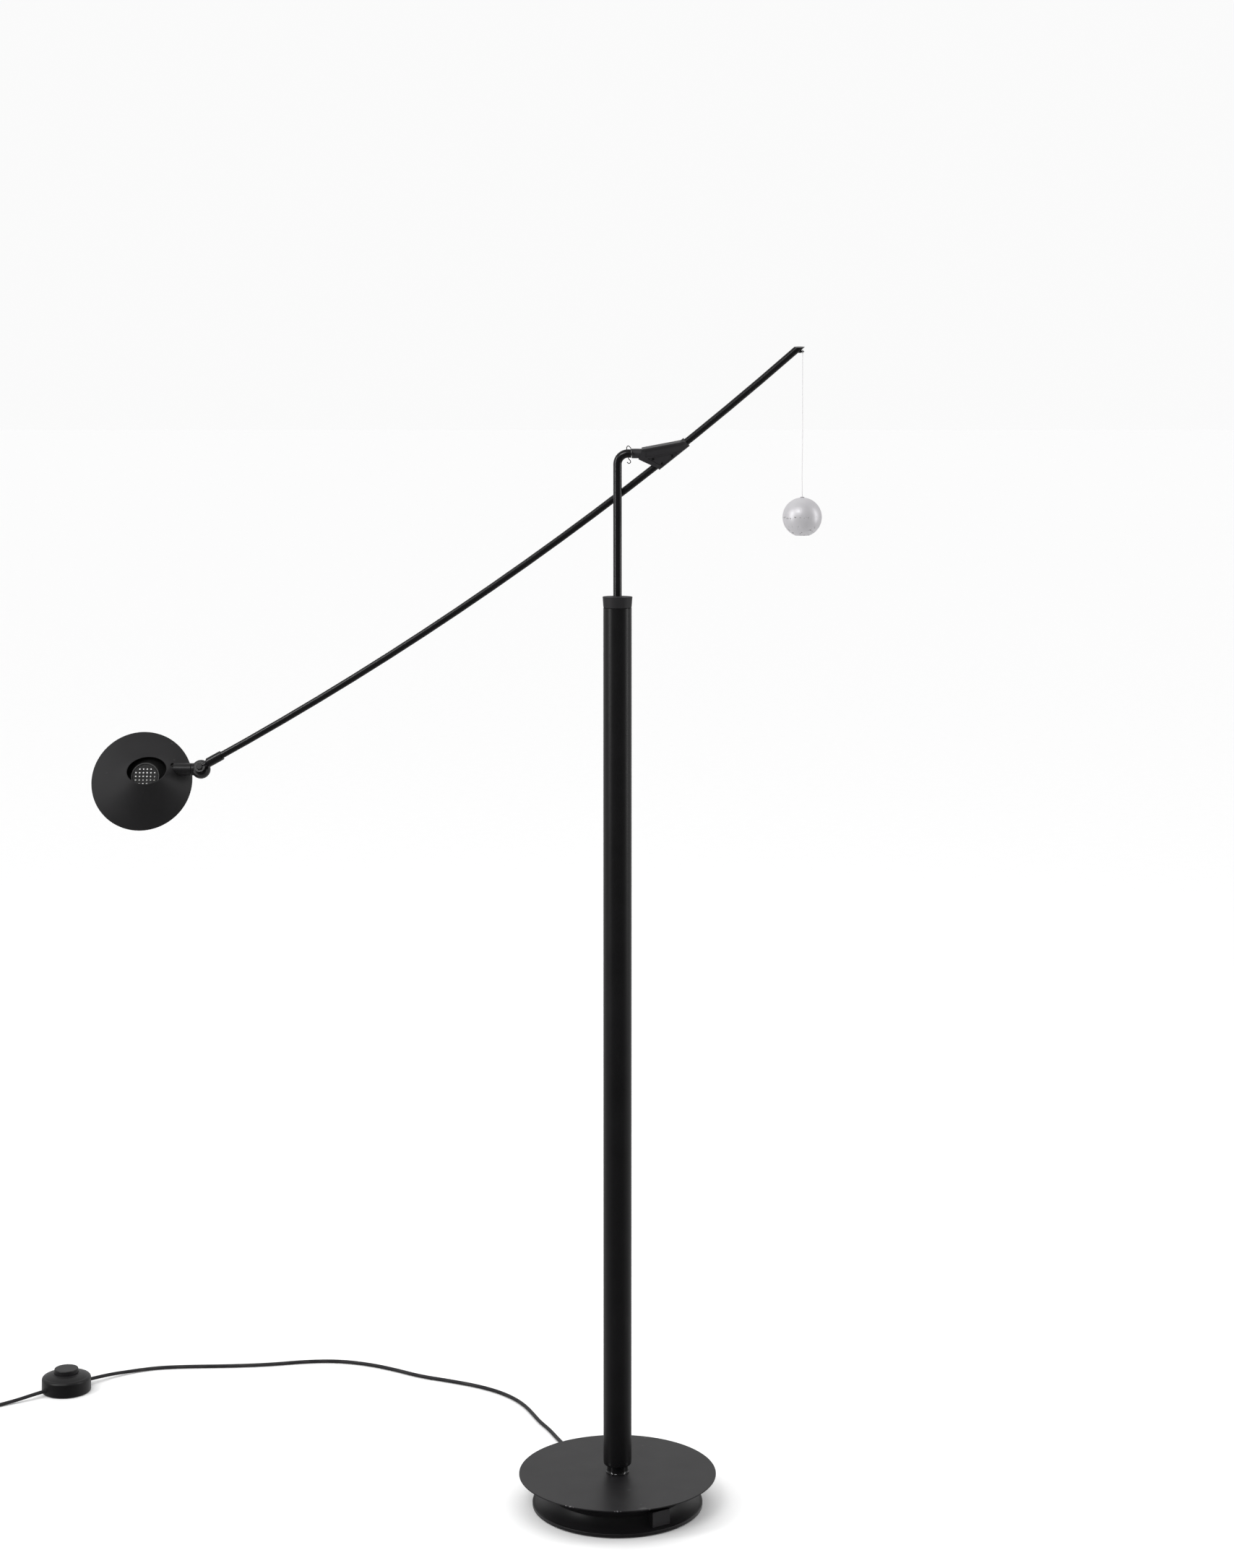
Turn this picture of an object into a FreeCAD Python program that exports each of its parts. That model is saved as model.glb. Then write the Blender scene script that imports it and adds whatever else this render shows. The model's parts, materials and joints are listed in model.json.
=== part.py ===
import FreeCAD, Part
import math
import os

import Sketcher

# Pharmacy floor lamp: a spool base and a column carry a telescoping stem, whose level end
# holds a long balanced arm with a ball weight at one end and a small shade at the other.
# Millimetres, +Z up, +X towards the ball, -Y towards the viewer. The origin is on the floor,
# at the centre of the base.

Vector = FreeCAD.Vector
Placement = FreeCAD.Placement
Rotation = FreeCAD.Rotation
X_DIR = Vector(1, 0, 0)
Y_DIR = Vector(0, 1, 0)
Z_DIR = Vector(0, 0, 1)

# ---------------------------------------------------------------- driving dimensions

SIZES = [
    # fits and small gaps
    ("running_gap", 0.05),
    ("free_gap", 0.4),
    # base
    ("base_radius", 140.0),
    ("base_height", 46.5),
    ("pad_thick", 1.5),
    ("pad_radius", 117.0),
    ("flange_radius", 121.0),
    ("flange_edge", 4.5),
    ("waist_radius", 98.5),
    ("waist_height", 20.0),
    ("disc_edge", 1.6),
    ("bottom_plate_thick", 2.5),
    ("bottom_plate_radius", 84.0),
    ("plate_screw_circle", 76.0),
    ("label_width", 28.5),
    ("label_height", 21.3),
    ("label_thick", 0.8),
    ("label_azimuth", 32.6),
    # column
    ("neck_radius", 16.4),
    ("neck_rise", 11.0),
    ("column_radius", 20.0),
    ("column_wall", 2.0),
    ("column_length", 1221.5),
    ("cap_height", 16.0),
    ("cap_radius", 20.9),
    ("cap_skirt", 30.0),
    ("stud_radius", 8.0),
    # stem
    ("stem_radius", 6.0),
    ("stem_wall", 1.5),
    ("stem_axis_height", 1495.8),
    ("stem_bend", 15.0),
    ("stem_end", 18.8),
    ("stem_inside", 430.0),
    ("piston_length", 60.0),
    ("bush_length", 40.0),
    # bracket
    ("collar_radius", 6.8),
    ("collar_length", 19.0),
    ("journal_radius", 3.5),
    ("bracket_thick", 14.0),
    # arm
    ("arm_radius", 5.0),
    ("arm_wall", 1.0),
    ("arm_bend_radius", 4755.0),
    ("arm_cross", 76.3),
    ("arm_slope", 39.2),
    ("arm_roll_angle", 11.0),
    ("arm_ball_reach", 222.0),
    ("arm_head_reach", 800.0),
    # counterweight
    ("ball_radius", 27.3),
    ("thread_radius", 0.4),
    ("thread_length", 202.8),
    # head joint
    ("eye_radius", 7.7),
    ("eye_thick", 8.0),
    ("pin_radius", 2.5),
    ("knuckle_radius", 13.6),
    ("knuckle_offset", 12.5),
    ("socket_radius", 6.9),
    ("socket_length", 31.0),
    ("stub_radius", 8.9),
    ("sleeve_end", 40.0),
    # shade
    ("shade_pitch", 20.6),
    ("rim_radius", 73.2),
    ("vent_radius", 29.4),
    ("vent_height", 40.0),
    ("vent_side", 13.0),
    ("vent_up", 6.6),
    ("vent_tilt", 33.7),
    # foot switch
    ("switch_radius", 38.5),
    ("switch_height", 29.0),
    ("switch_button_radius", 18.8),
    ("switch_button_rise", 7.0),
    # mains lead
    ("lead_radius", 2.75),
]

doc = FreeCAD.newDocument("floor_lamp")
sheet = doc.addObject("Spreadsheet::Sheet", "sizes")
for row, (alias, value) in enumerate(SIZES, start=1):
    sheet.set("A%d" % row, alias)
    sheet.set("B%d" % row, str(value))
    sheet.setAlias("B%d" % row, alias)
doc.recompute()


class Size:
    """A number that also knows the sheet expression it comes from."""

    def __init__(self, value, text):
        self.value = float(value)
        self.text = text

    def __add__(self, other):
        other = size_of(other)
        return Size(self.value + other.value, "(%s + %s)" % (self.text, other.text))

    def __sub__(self, other):
        other = size_of(other)
        return Size(self.value - other.value, "(%s - %s)" % (self.text, other.text))

    def __mul__(self, other):
        other = size_of(other)
        return Size(self.value * other.value, "(%s * %s)" % (self.text, other.text))

    def __truediv__(self, other):
        other = size_of(other)
        return Size(self.value / other.value, "(%s / %s)" % (self.text, other.text))

    def __radd__(self, other):
        return size_of(other) + self

    def __rsub__(self, other):
        return size_of(other) - self

    def __rmul__(self, other):
        return size_of(other) * self

    def __neg__(self):
        return size_of(0) - self


def size_of(number):
    """A Size as it is, or a plain number as a Size."""
    if isinstance(number, Size):
        return number
    return Size(number, repr(float(number)))


def size(alias):
    """The sheet's size of that name."""
    return Size(sheet.get(alias), "sizes." + alias)


def cosine(angle):
    """Cosine of a Size in degrees, as a Size."""
    return Size(math.cos(math.radians(angle.value)), "cos(%s * 1 deg)" % angle.text)


def sine(angle):
    """Sine of a Size in degrees, as a Size."""
    return Size(math.sin(math.radians(angle.value)), "sin(%s * 1 deg)" % angle.text)


# ---------------------------------------------------------------- modelling helpers

nodes = {}


def keep(label, thing):
    """Names a finished sub-part."""
    thing.Label = label
    nodes[label] = thing
    return thing


def bind(thing, path, number):
    """Ties a property of an object to the sheet when its size comes from there."""
    number = size_of(number)
    if "sizes." in number.text:
        thing.setExpression(path, number.text)


def new_body(label, placement=None):
    body = doc.addObject("PartDesign::Body", label)
    if placement is not None:
        body.Placement = placement
    return keep(label, body)


def origin_feature(body, role):
    return [item for item in body.Origin.OriginFeatures if item.Role == role][0]


def new_sketch(body, role, lift=0, offset=None):
    """A sketch on one of the body's own origin planes, lifted along that plane's normal."""
    sketch = body.newObject("Sketcher::SketchObject", body.Name + "_sketch")
    sketch.AttachmentSupport = [(origin_feature(body, role), "")]
    sketch.MapMode = "FlatFace"
    lift = size_of(lift)
    sketch.AttachmentOffset = offset or Placement(Vector(0, 0, lift.value), Rotation())
    if offset is None:
        bind(sketch, "AttachmentOffset.Base.z", lift)
    return sketch


def pin_point(sketch, geometry, spot, across, up):
    """Fixes a point of a sketch by its two distances from the sketch's origin."""
    for kind, axis, number in (("DistanceX", -2, across), ("DistanceY", -1, up)):
        if number.value == 0 and "sizes." not in number.text:
            sketch.addConstraint(Sketcher.Constraint("PointOnObject", geometry, spot, axis))
            continue
        index = sketch.addConstraint(
            Sketcher.Constraint(kind, -1, 1, geometry, spot, number.value))
        bind(sketch, "Constraints[%d]" % index, number)


def pin_radius(sketch, geometry, radius):
    index = sketch.addConstraint(Sketcher.Constraint("Radius", geometry, abs(radius.value)))
    bind(sketch, "Constraints[%d]" % index, radius if radius.value > 0 else -radius)


def arc_between(start, end, radius):
    """Minor arc; a positive radius turns left on the way from start to end."""
    chord = end - start
    height = math.sqrt(radius * radius - chord.Length * chord.Length / 4)
    left = Vector(-chord.y, chord.x, 0).normalize()
    centre = (start + end) * 0.5 + left * math.copysign(height, radius)
    first, last = (start, end) if radius > 0 else (end, start)
    angles = [math.atan2(p.y - centre.y, p.x - centre.x) for p in (first, last)]
    return Part.ArcOfCircle(Part.Circle(centre, Z_DIR, abs(radius)), angles[0], angles[1])


def draw_outline(sketch, outline, closed=True):
    """Joined edges; a third number on a point makes the edge that reaches it an arc."""
    points = [[size_of(number) for number in item] for item in outline]
    count = len(points) if closed else len(points) - 1
    ends = []
    for index in range(count):
        here = points[index]
        after = points[(index + 1) % len(points)]
        start = Vector(here[0].value, here[1].value, 0)
        end = Vector(after[0].value, after[1].value, 0)
        if len(after) == 3:
            edge = sketch.addGeometry(arc_between(start, end, after[2].value), False)
            pin_radius(sketch, edge, after[2])
            ends.append((edge, 1, 2) if after[2].value > 0 else (edge, 2, 1))
        else:
            ends.append((sketch.addGeometry(Part.LineSegment(start, end), False), 1, 2))
    for index in range(count):
        edge, first, last = ends[index]
        pin_point(sketch, edge, first, points[index][0], points[index][1])
        if index + 1 < count or closed:
            after = ends[(index + 1) % count]
            sketch.addConstraint(
                Sketcher.Constraint("Coincident", edge, last, after[0], after[1]))
        else:
            pin_point(sketch, edge, last, points[-1][0], points[-1][1])


def draw_circle(sketch, across, up, radius):
    across, up, radius = size_of(across), size_of(up), size_of(radius)
    centre = Vector(across.value, up.value, 0)
    edge = sketch.addGeometry(Part.Circle(centre, Z_DIR, radius.value), False)
    pin_radius(sketch, edge, radius)
    pin_point(sketch, edge, 3, across, up)


def revolve(body, sketch, axis="Z_Axis", angle=360, kind="PartDesign::Revolution"):
    feature = body.newObject(kind, body.Name + "_turn")
    feature.Profile = sketch
    feature.ReferenceAxis = (origin_feature(body, axis), [""])
    angle = size_of(angle)
    feature.Angle = angle.value
    bind(feature, "Angle", angle)
    return feature


def turned(label, outline, placement=None):
    """A round piece: an outline of (radius, height) points turned about the body's Z axis."""
    body = new_body(label, placement)
    sketch = new_sketch(body, "XZ_Plane")
    draw_outline(sketch, outline)
    revolve(body, sketch)
    return body


def pad(body, sketch, thick, middle=False, kind="PartDesign::Pad"):
    thick = size_of(thick)
    feature = body.newObject(kind, body.Name + "_pad")
    feature.Profile = sketch
    feature.Length = thick.value
    bind(feature, "Length", thick)
    if middle:
        feature.SideType = "Symmetric"
    return feature


def cut_through(body, role, spots, radius, lift=0):
    """Round holes right through the body, square to one of its origin planes."""
    sketch = new_sketch(body, role, lift)
    for across, up in spots:
        draw_circle(sketch, across, up, radius)
    feature = body.newObject("PartDesign::Pocket", body.Name + "_holes")
    feature.Profile = sketch
    feature.SideType = "Symmetric"
    feature.Type = "ThroughAll"
    return feature


def cut_pocket(body, role, outline, depth, lift, reverse=False):
    """A flat-bottomed pocket with a straight-sided outline."""
    sketch = new_sketch(body, role, lift)
    draw_outline(sketch, outline)
    feature = pad(body, sketch, depth, kind="PartDesign::Pocket")
    feature.Reversed = reverse
    return feature


def cylinder_in(body, radius, length, placement, add=True):
    """A round boss or bore of a body, along the placement's Z."""
    kind = "PartDesign::AdditiveCylinder" if add else "PartDesign::SubtractiveCylinder"
    feature = body.newObject(kind, body.Name + ("_boss" if add else "_bore"))
    feature.Radius = size_of(radius).value
    bind(feature, "Radius", radius)
    feature.Height = size_of(length).value
    bind(feature, "Height", length)
    feature.Placement = placement
    return feature


def ring_outline(inner, outer, low, high, chamfer=0.0):
    """Section of a plain ring, with its outer corners broken."""
    if chamfer == 0.0:
        return [(inner, low), (outer, low), (outer, high), (inner, high)]
    return [(inner, low), (outer - chamfer, low), (outer, low + chamfer),
            (outer, high - chamfer), (outer - chamfer, high), (inner, high)]


def plain(label, shape, placement=None):
    """A sub-part whose shape is made directly."""
    feature = doc.addObject("Part::Feature", label)
    feature.Shape = shape
    if placement is not None:
        feature.Placement = placement
    return keep(label, feature)


def repeated(label, shape, placements):
    """Identical pieces that share one node."""
    copies = []
    for placement in placements:
        copy = shape.copy()
        copy.Placement = placement.multiply(copy.Placement)
        copies.append(copy)
    return plain(label, Part.makeCompound(copies))


def screw_shape(head_radius, head_height, shank_radius, shank_length, drive_radius, drive_depth):
    """A screw with its head above z=0, its shank below and a round-cornered hexagon drive."""
    head = Part.makeCylinder(head_radius, head_height)
    head = head.makeFillet(head_height * 0.3, [head.Edges[0]])
    shank = Part.makeCylinder(shank_radius, shank_length, Vector(0, 0, -shank_length))
    corners = []
    for step in range(7):
        turn = math.radians(60 * step)
        corners.append(Vector(drive_radius * math.cos(turn), drive_radius * math.sin(turn),
                              head_height - drive_depth))
    drive = Part.Face(Part.makePolygon(corners)).extrude(Vector(0, 0, drive_depth + 1))
    return head.fuse(shank).cut(drive).removeSplitter()


def hexagon(across_flats, height, low, bore):
    """A nut standing on z=low."""
    radius = across_flats / math.sqrt(3)
    corners = []
    for step in range(7):
        turn = math.radians(60 * step)
        corners.append(Vector(radius * math.cos(turn), radius * math.sin(turn), low))
    nut = Part.Face(Part.makePolygon(corners)).extrude(Vector(0, 0, height))
    return nut.cut(Part.makeCylinder(bore, height + 2, Vector(0, 0, low - 1)))


def polar(radius, azimuth, z=0.0):
    turn = math.radians(azimuth)
    return Vector(radius * math.cos(turn), radius * math.sin(turn), z)


# ---------------------------------------------------------------- shared sizes and frames

gap = size("running_gap")
free = size("free_gap")
base_top = size("base_height")
floor_gap = size("pad_thick")
plate_top = floor_gap + size("bottom_plate_thick")
column_foot_z = base_top + size("neck_rise")
column_top_z = column_foot_z + size("column_length")
cap_top_z = column_top_z + size("cap_height")
column_bore = size("column_radius") - size("column_wall")
stem_low_z = cap_top_z - size("stem_inside")
stem_bore = size("stem_radius") - size("stem_wall")
lead_radius = size("lead_radius")
roll = size("arm_roll_angle").value
axis_height = size("stem_axis_height").value

# X along the stem's level end, Z up in the plane that holds the arm
ARM = Placement(Vector(0, 0, axis_height), Rotation(X_DIR, roll))

# the stem's own frame stands upright, because the stem does not roll with the arm
STEM = Placement(Vector(0, 0, axis_height), Rotation())

# turns a body's Z axis to the frame's X axis
ALONG_X = Rotation(Y_DIR, 90)

# turns a body's Z axis to the frame's Y axis
ALONG_Y = Rotation(X_DIR, -90)


def arm_point(reach):
    """Place on the arm's centre line, in the arm's plane, and its slope there in degrees.

    reach is measured along the arm from where it crosses the stem's axis, towards the ball."""
    radius = size("arm_bend_radius").value
    slope = size("arm_slope").value + math.degrees(reach / radius)
    turn = math.radians(slope)
    start = math.radians(size("arm_slope").value)
    x = size("arm_cross").value + radius * (math.sin(turn) - math.sin(start))
    z = radius * (math.cos(start) - math.cos(turn))
    return Vector(x, 0, z), slope


# ---------------------------------------------------------------- base

SHELL_ROOF = 6.5
CAVITY_RADIUS = 70.0
NUT_FLATS = 24.0
NUT_HEIGHT = 8.0
WASHER = 1.6
FOOT_CURVE = 25.0
FLANGE_LAND = 4.0
LABEL_PAD_DEPTH = 15.0
LABEL_PAD_SUNK = 1.0
LABEL_LIFT = 1.5


def base_shell():
    """The spool-shaped casting: a thin disc, a hollow waist and a flange."""
    hole = size("stud_radius")
    disc = size("base_radius")
    flange_top = floor_gap + size("flange_edge")
    roof = base_top - SHELL_ROOF
    seat = size("bottom_plate_radius") + free
    outline = [
        (hole, base_top),
        (disc - 0.6, base_top),
        (disc, base_top - 0.6, -0.6),
        (disc, base_top - size("disc_edge")),
        (size("waist_radius"), size("waist_height"), 45.0),
        (size("flange_radius") - FLANGE_LAND, flange_top, FOOT_CURVE),
        (size("flange_radius") - 0.8, flange_top),
        (size("flange_radius"), flange_top - 0.8, -0.8),
        (size("flange_radius"), floor_gap),
        (seat, floor_gap),
        (seat, plate_top),
        (CAVITY_RADIUS, plate_top),
        (CAVITY_RADIUS, roof - 4.0),
        (CAVITY_RADIUS - 4.0, roof, 4.0),
        (hole, roof),
    ]
    return turned("base_shell", outline)


def screw_spots(circle, count, start):
    """Hole centres on a circle, as pairs of sizes."""
    spots = []
    for step in range(count):
        angle = size_of(start + 360.0 * step / count)
        spots.append((circle * cosine(angle), circle * sine(angle)))
    return spots


def bottom_plate():
    radius = size("bottom_plate_radius")
    body = turned("base_bottom_plate", ring_outline(0, radius, floor_gap, plate_top))
    cut_through(body, "XY_Plane", screw_spots(size("plate_screw_circle"), 4, 45), 2.0)
    return body


def plate_screws():
    circle = size("plate_screw_circle").value
    top = plate_top.value
    shank = Part.makeCylinder(2.0, 10.0, Vector(0, 0, top - size("bottom_plate_thick").value))
    places = [Placement(polar(circle, 45 + 90 * step), Rotation()) for step in range(4)]
    repeated("base_plate_screws", shank, places)


def shell_screw_holes(body):
    """Blind holes in the casting for the bottom plate's screws."""
    for step in range(4):
        spot = polar(size("plate_screw_circle").value, 45 + 90 * step, plate_top.value - 1)
        cylinder_in(body, 2.0, 8.5, Placement(spot, Rotation()), add=False)


def label_turn(radius, height):
    """A place on the flange: X level and across, Y upright, Z outward."""
    azimuth = size("label_azimuth").value - 90
    out = polar(1, azimuth)
    across = Z_DIR.cross(out)
    corner = polar(radius, azimuth, height) - across * (size("label_width").value / 2)
    return Placement(corner, Rotation(across, Z_DIR, out, "ZXY"))


def label_pad(body):
    """Flat upright pad cast on the waist, which the label is fixed to."""
    pad_box = body.newObject("PartDesign::AdditiveBox", "label_pad")
    pad_box.Height = LABEL_PAD_DEPTH
    bind(pad_box, "Length", size("label_width"))
    bind(pad_box, "Width", size("label_height") + (LABEL_PAD_SUNK + LABEL_LIFT))
    foot = floor_gap.value + size("flange_edge").value - LABEL_PAD_SUNK
    pad_box.Placement = label_turn(size("waist_radius").value - 1, foot)


def label_plate():
    """A blank plate on the pad, just clear of the waist's lower curve."""
    foot = floor_gap.value + size("flange_edge").value + LABEL_LIFT
    box = doc.addObject("Part::Box", "base_label_plate")
    bind(box, "Length", size("label_width"))
    bind(box, "Width", size("label_height"))
    bind(box, "Height", size("label_thick"))
    box.Placement = label_turn(size("waist_radius").value - 1 + LABEL_PAD_DEPTH, foot)
    keep("base_label_plate", box)


def transformer():
    low = plate_top + 6.0
    outline = [(22.0, low + 3.0), (25.0, low, 3.0), (43.0, low), (46.0, low + 3.0, 3.0),
               (46.0, low + 19.0), (43.0, low + 22.0, 3.0), (25.0, low + 22.0),
               (22.0, low + 19.0, 3.0)]
    turned("transformer_coil", outline)
    clamp = [(size("stud_radius"), low - 3.0), (30.0, low - 3.0), (34.0, low - 1.5),
             (34.0, low), (25.5, low), (23.0, low - 1.5), (size("stud_radius"), low - 1.5)]
    turned("transformer_clamp", clamp)


def stud_nuts():
    low = plate_top.value + 6.0
    stud = size("stud_radius").value
    upper = hexagon(NUT_FLATS, NUT_HEIGHT, base_top.value - SHELL_ROOF - NUT_HEIGHT - WASHER, stud)
    lower = hexagon(NUT_FLATS, NUT_HEIGHT, low - 1.5, stud)
    roof = base_top.value - SHELL_ROOF
    washer = Part.makeCylinder(19.0, WASHER, Vector(0, 0, roof - WASHER))
    washer = washer.cut(Part.makeCylinder(stud, 4.0, Vector(0, 0, roof - 3.0)))
    plain("base_stud_nuts", Part.makeCompound([upper, lower, washer]))


def terminal_block():
    body = new_body("terminal_block", Placement(polar(58.0, 60, plate_top.value), Rotation(Z_DIR, 60)))
    sketch = new_sketch(body, "XY_Plane")
    draw_outline(sketch, [(-8, -15), (8, -15), (8, 15), (-8, 15)])
    pad(body, sketch, 14.0)
    cut_through(body, "YZ_Plane", [(-9, 6), (0, 6), (9, 6)], 2.0)


GLAND_AZIMUTH = 111.0
GLAND_HEIGHT = 12.5
GLAND_LENGTH = 36.0
GLAND_SEAT = 4.5


def lead_gland():
    """Tapered strain relief where the mains lead leaves the base."""
    start = size("waist_radius").value - GLAND_SEAT
    place = Placement(polar(start, GLAND_AZIMUTH, GLAND_HEIGHT),
                      Rotation(Z_DIR, polar(1, GLAND_AZIMUTH)))
    turned("lead_gland", [
        (0, -20.0), (4.0, -20.0), (4.0, 0), (5.6, 0), (5.6, 8.0), (5.2, 8.5),
        (lead_radius + 0.6, GLAND_LENGTH), (0, GLAND_LENGTH)], place)


def gland_bore(shell):
    """The gland's hole through the casting's waist."""
    start = size("waist_radius").value - GLAND_SEAT
    direction = Rotation(Z_DIR, polar(1, GLAND_AZIMUTH))
    through = Placement(polar(start - 35.0, GLAND_AZIMUTH, GLAND_HEIGHT), direction)
    cylinder_in(shell, 4.0, 36.0, through, add=False)
    counterbore = Placement(polar(start, GLAND_AZIMUTH, GLAND_HEIGHT), direction)
    cylinder_in(shell, 5.6, 22.0, counterbore, add=False)


shell = base_shell()
shell_screw_holes(shell)
label_pad(shell)
gland_bore(shell)
bottom_plate()
plate_screws()
turned("base_floor_pad", ring_outline(0, size("pad_radius"), 0, floor_gap))
label_plate()
transformer()
stud_nuts()
terminal_block()
lead_gland()

# ---------------------------------------------------------------- column

FOOT_ROUND = 4.0
WIRE_BORE = 4.0
FOOT_PLUG = 37.0


def column():
    """Glossy neck with its stud, foot cap, tube, top cap and guide bush."""
    stud = size("stud_radius")
    neck = size("neck_radius")
    radius = size("column_radius")
    turned("column_neck", [
        (WIRE_BORE, plate_top + 2.0), (stud, plate_top + 2.0), (stud, base_top),
        (neck, base_top), (neck, base_top + 1.2), (neck - 1.6, base_top + 4.5, -5.0),
        (neck - 1.6, column_foot_z), (stud, column_foot_z), (stud, column_foot_z + FOOT_PLUG),
        (WIRE_BORE, column_foot_z + FOOT_PLUG)])
    turned("column_foot", [
        (stud, column_foot_z), (radius - FOOT_ROUND, column_foot_z),
        (radius, column_foot_z + FOOT_ROUND, FOOT_ROUND), (radius, column_foot_z + 7.0),
        (column_bore, column_foot_z + 7.0), (column_bore, column_foot_z + FOOT_PLUG),
        (stud, column_foot_z + FOOT_PLUG)])
    turned("column_tube", ring_outline(column_bore, radius, column_foot_z + 7.0, column_top_z))
    cap = size("cap_radius")
    bush = size("stem_radius") + gap
    skirt = column_top_z - size("cap_skirt")
    turned("column_cap", [
        (bush + 3.0, skirt), (column_bore, skirt), (column_bore, column_top_z),
        (radius - 0.8, column_top_z), (radius - 0.1, column_top_z + 1.0), (cap, cap_top_z - 1.4),
        (cap - 0.6, cap_top_z, 0.9), (bush + 3.0, cap_top_z)])
    turned("column_bush", ring_outline(bush, bush + 3.0, cap_top_z - size("bush_length"),
                                       cap_top_z + 0.6, 0.5))


column()

# ---------------------------------------------------------------- stem and its guide

RING_HEIGHT = 4.0


def stem_guide():
    """Piston that slides in the column and lets the stem turn, with two wear rings."""
    bore = size("stem_radius") + gap
    low = stem_low_z + 8.0
    high = low + size("piston_length")
    core = column_bore - 0.8
    groove = core - 1.5
    outline = [(bore, low), (core, low)]
    for start in (low + 6.0, high - 6.0 - RING_HEIGHT):
        outline += [(core, start), (groove, start), (groove, start + RING_HEIGHT),
                    (core, start + RING_HEIGHT)]
    outline += [(core, high), (bore, high)]
    turned("guide_piston", outline)
    rings = []
    for start in (low.value + 6.0, high.value - 6.0 - RING_HEIGHT):
        outer = Part.makeCylinder(column_bore.value - gap.value, RING_HEIGHT, Vector(0, 0, start))
        inner = Part.makeCylinder(groove.value, RING_HEIGHT, Vector(0, 0, start))
        rings.append(outer.cut(inner))
    plain("guide_rings", Part.makeCompound(rings))
    stem = size("stem_radius")
    turned("stem_end_collar", ring_outline(stem, 12.0, stem_low_z, low - free, 1.0))
    turned("stem_stop_ring", ring_outline(stem, 11.0, high + free, high + 6.0, 0.6))


def stem_tube():
    """The thin tube: straight up, one tight bend, and a short level end."""
    body = new_body("stem_tube", STEM)
    bend = size("stem_bend")
    drop = size("stem_axis_height") - stem_low_z
    path = new_sketch(body, "XZ_Plane")
    draw_outline(path, [(0, -drop), (0, -bend), (bend, 0, -bend), (size("stem_end"), 0)],
                 closed=False)
    section = new_sketch(body, "XY_Plane", -drop)
    draw_circle(section, 0, 0, size("stem_radius"))
    draw_circle(section, 0, 0, stem_bore)
    pipe = body.newObject("PartDesign::AdditivePipe", "stem_pipe")
    pipe.Profile = section
    pipe.Spine = (path, ["Edge1", "Edge2", "Edge3"])


def stem_pivot():
    """Pin brazed into the stem's end, on which the bracket turns, and its end washer."""
    end = size("stem_end")
    journal = size("journal_radius")
    reach = end + size("collar_length")
    place = Placement(Vector(0, 0, axis_height), ALONG_X)
    turned("stem_pivot", [
        (0, size("stem_bend")), (stem_bore, size("stem_bend")), (stem_bore, end),
        (size("stem_radius"), end), (size("stem_radius"), end + 0.8), (journal, end + 0.8),
        (journal, reach + 5.0), (0, reach + 5.0)], place)
    turned("pivot_washer", ring_outline(journal, journal + 1.9, reach + 1.4, reach + 3.4, 0.3),
           place)


stem_guide()
stem_tube()
stem_pivot()

# ---------------------------------------------------------------- bracket

slope = size("arm_slope")
RAIL = 2.4
COVER_THICK = 1.2
COVER_DEPTH = 1.7
COVER_GAP = 0.25
# the arm is slightly curved and its seats are straight
ARM_FIT = 0.08


def along_arm(along, off):
    """Point in the arm's plane, given along and above the arm's line at the bracket."""
    x = size("arm_cross") + cosine(slope) * along - sine(slope) * off
    z = sine(slope) * along + cosine(slope) * off
    return x, z


def bracket_outline():
    """Corners in the arm's plane: collar root, upper right, tip, bottom, collar underside.

    The sleeve round the arm stands below the edge between tip and bottom."""
    root = size("stem_end") + 15.2
    return [(root, size("collar_radius") + 0.4), along_arm(23.7, 4.4), along_arm(25.4, -2.0),
            along_arm(24.8, -5.0), along_arm(-27.0, -5.0), (root - 4.5, -size("collar_radius") - 0.4)]


def cover_corners(shrink):
    """Triangle of the wiring cover, drawn in from its recess by a gap."""
    left = along_arm(-30.3 + 2.2 * shrink, 17.0 - 1.1 * shrink)
    right = along_arm(7.8 - 2.6 * shrink, -3.0 - 0.4 * shrink)
    low = along_arm(-21.3 + 0.2 * shrink, -4.6 + 1.3 * shrink)
    return [left, right, low]


def cover_screw_spots():
    return [along_arm(-25.0, 11.8), along_arm(-1.2, -1.3), along_arm(-19.2, -0.9)]


def arm_line(along):
    """Placement on the arm's line at the bracket, its Z pointing towards the ball."""
    x, z = along_arm(along, 0)
    turn = math.radians(slope.value)
    return Placement(Vector(x.value, 0, z.value),
                     Rotation(Z_DIR, Vector(math.cos(turn), 0, math.sin(turn))))


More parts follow.
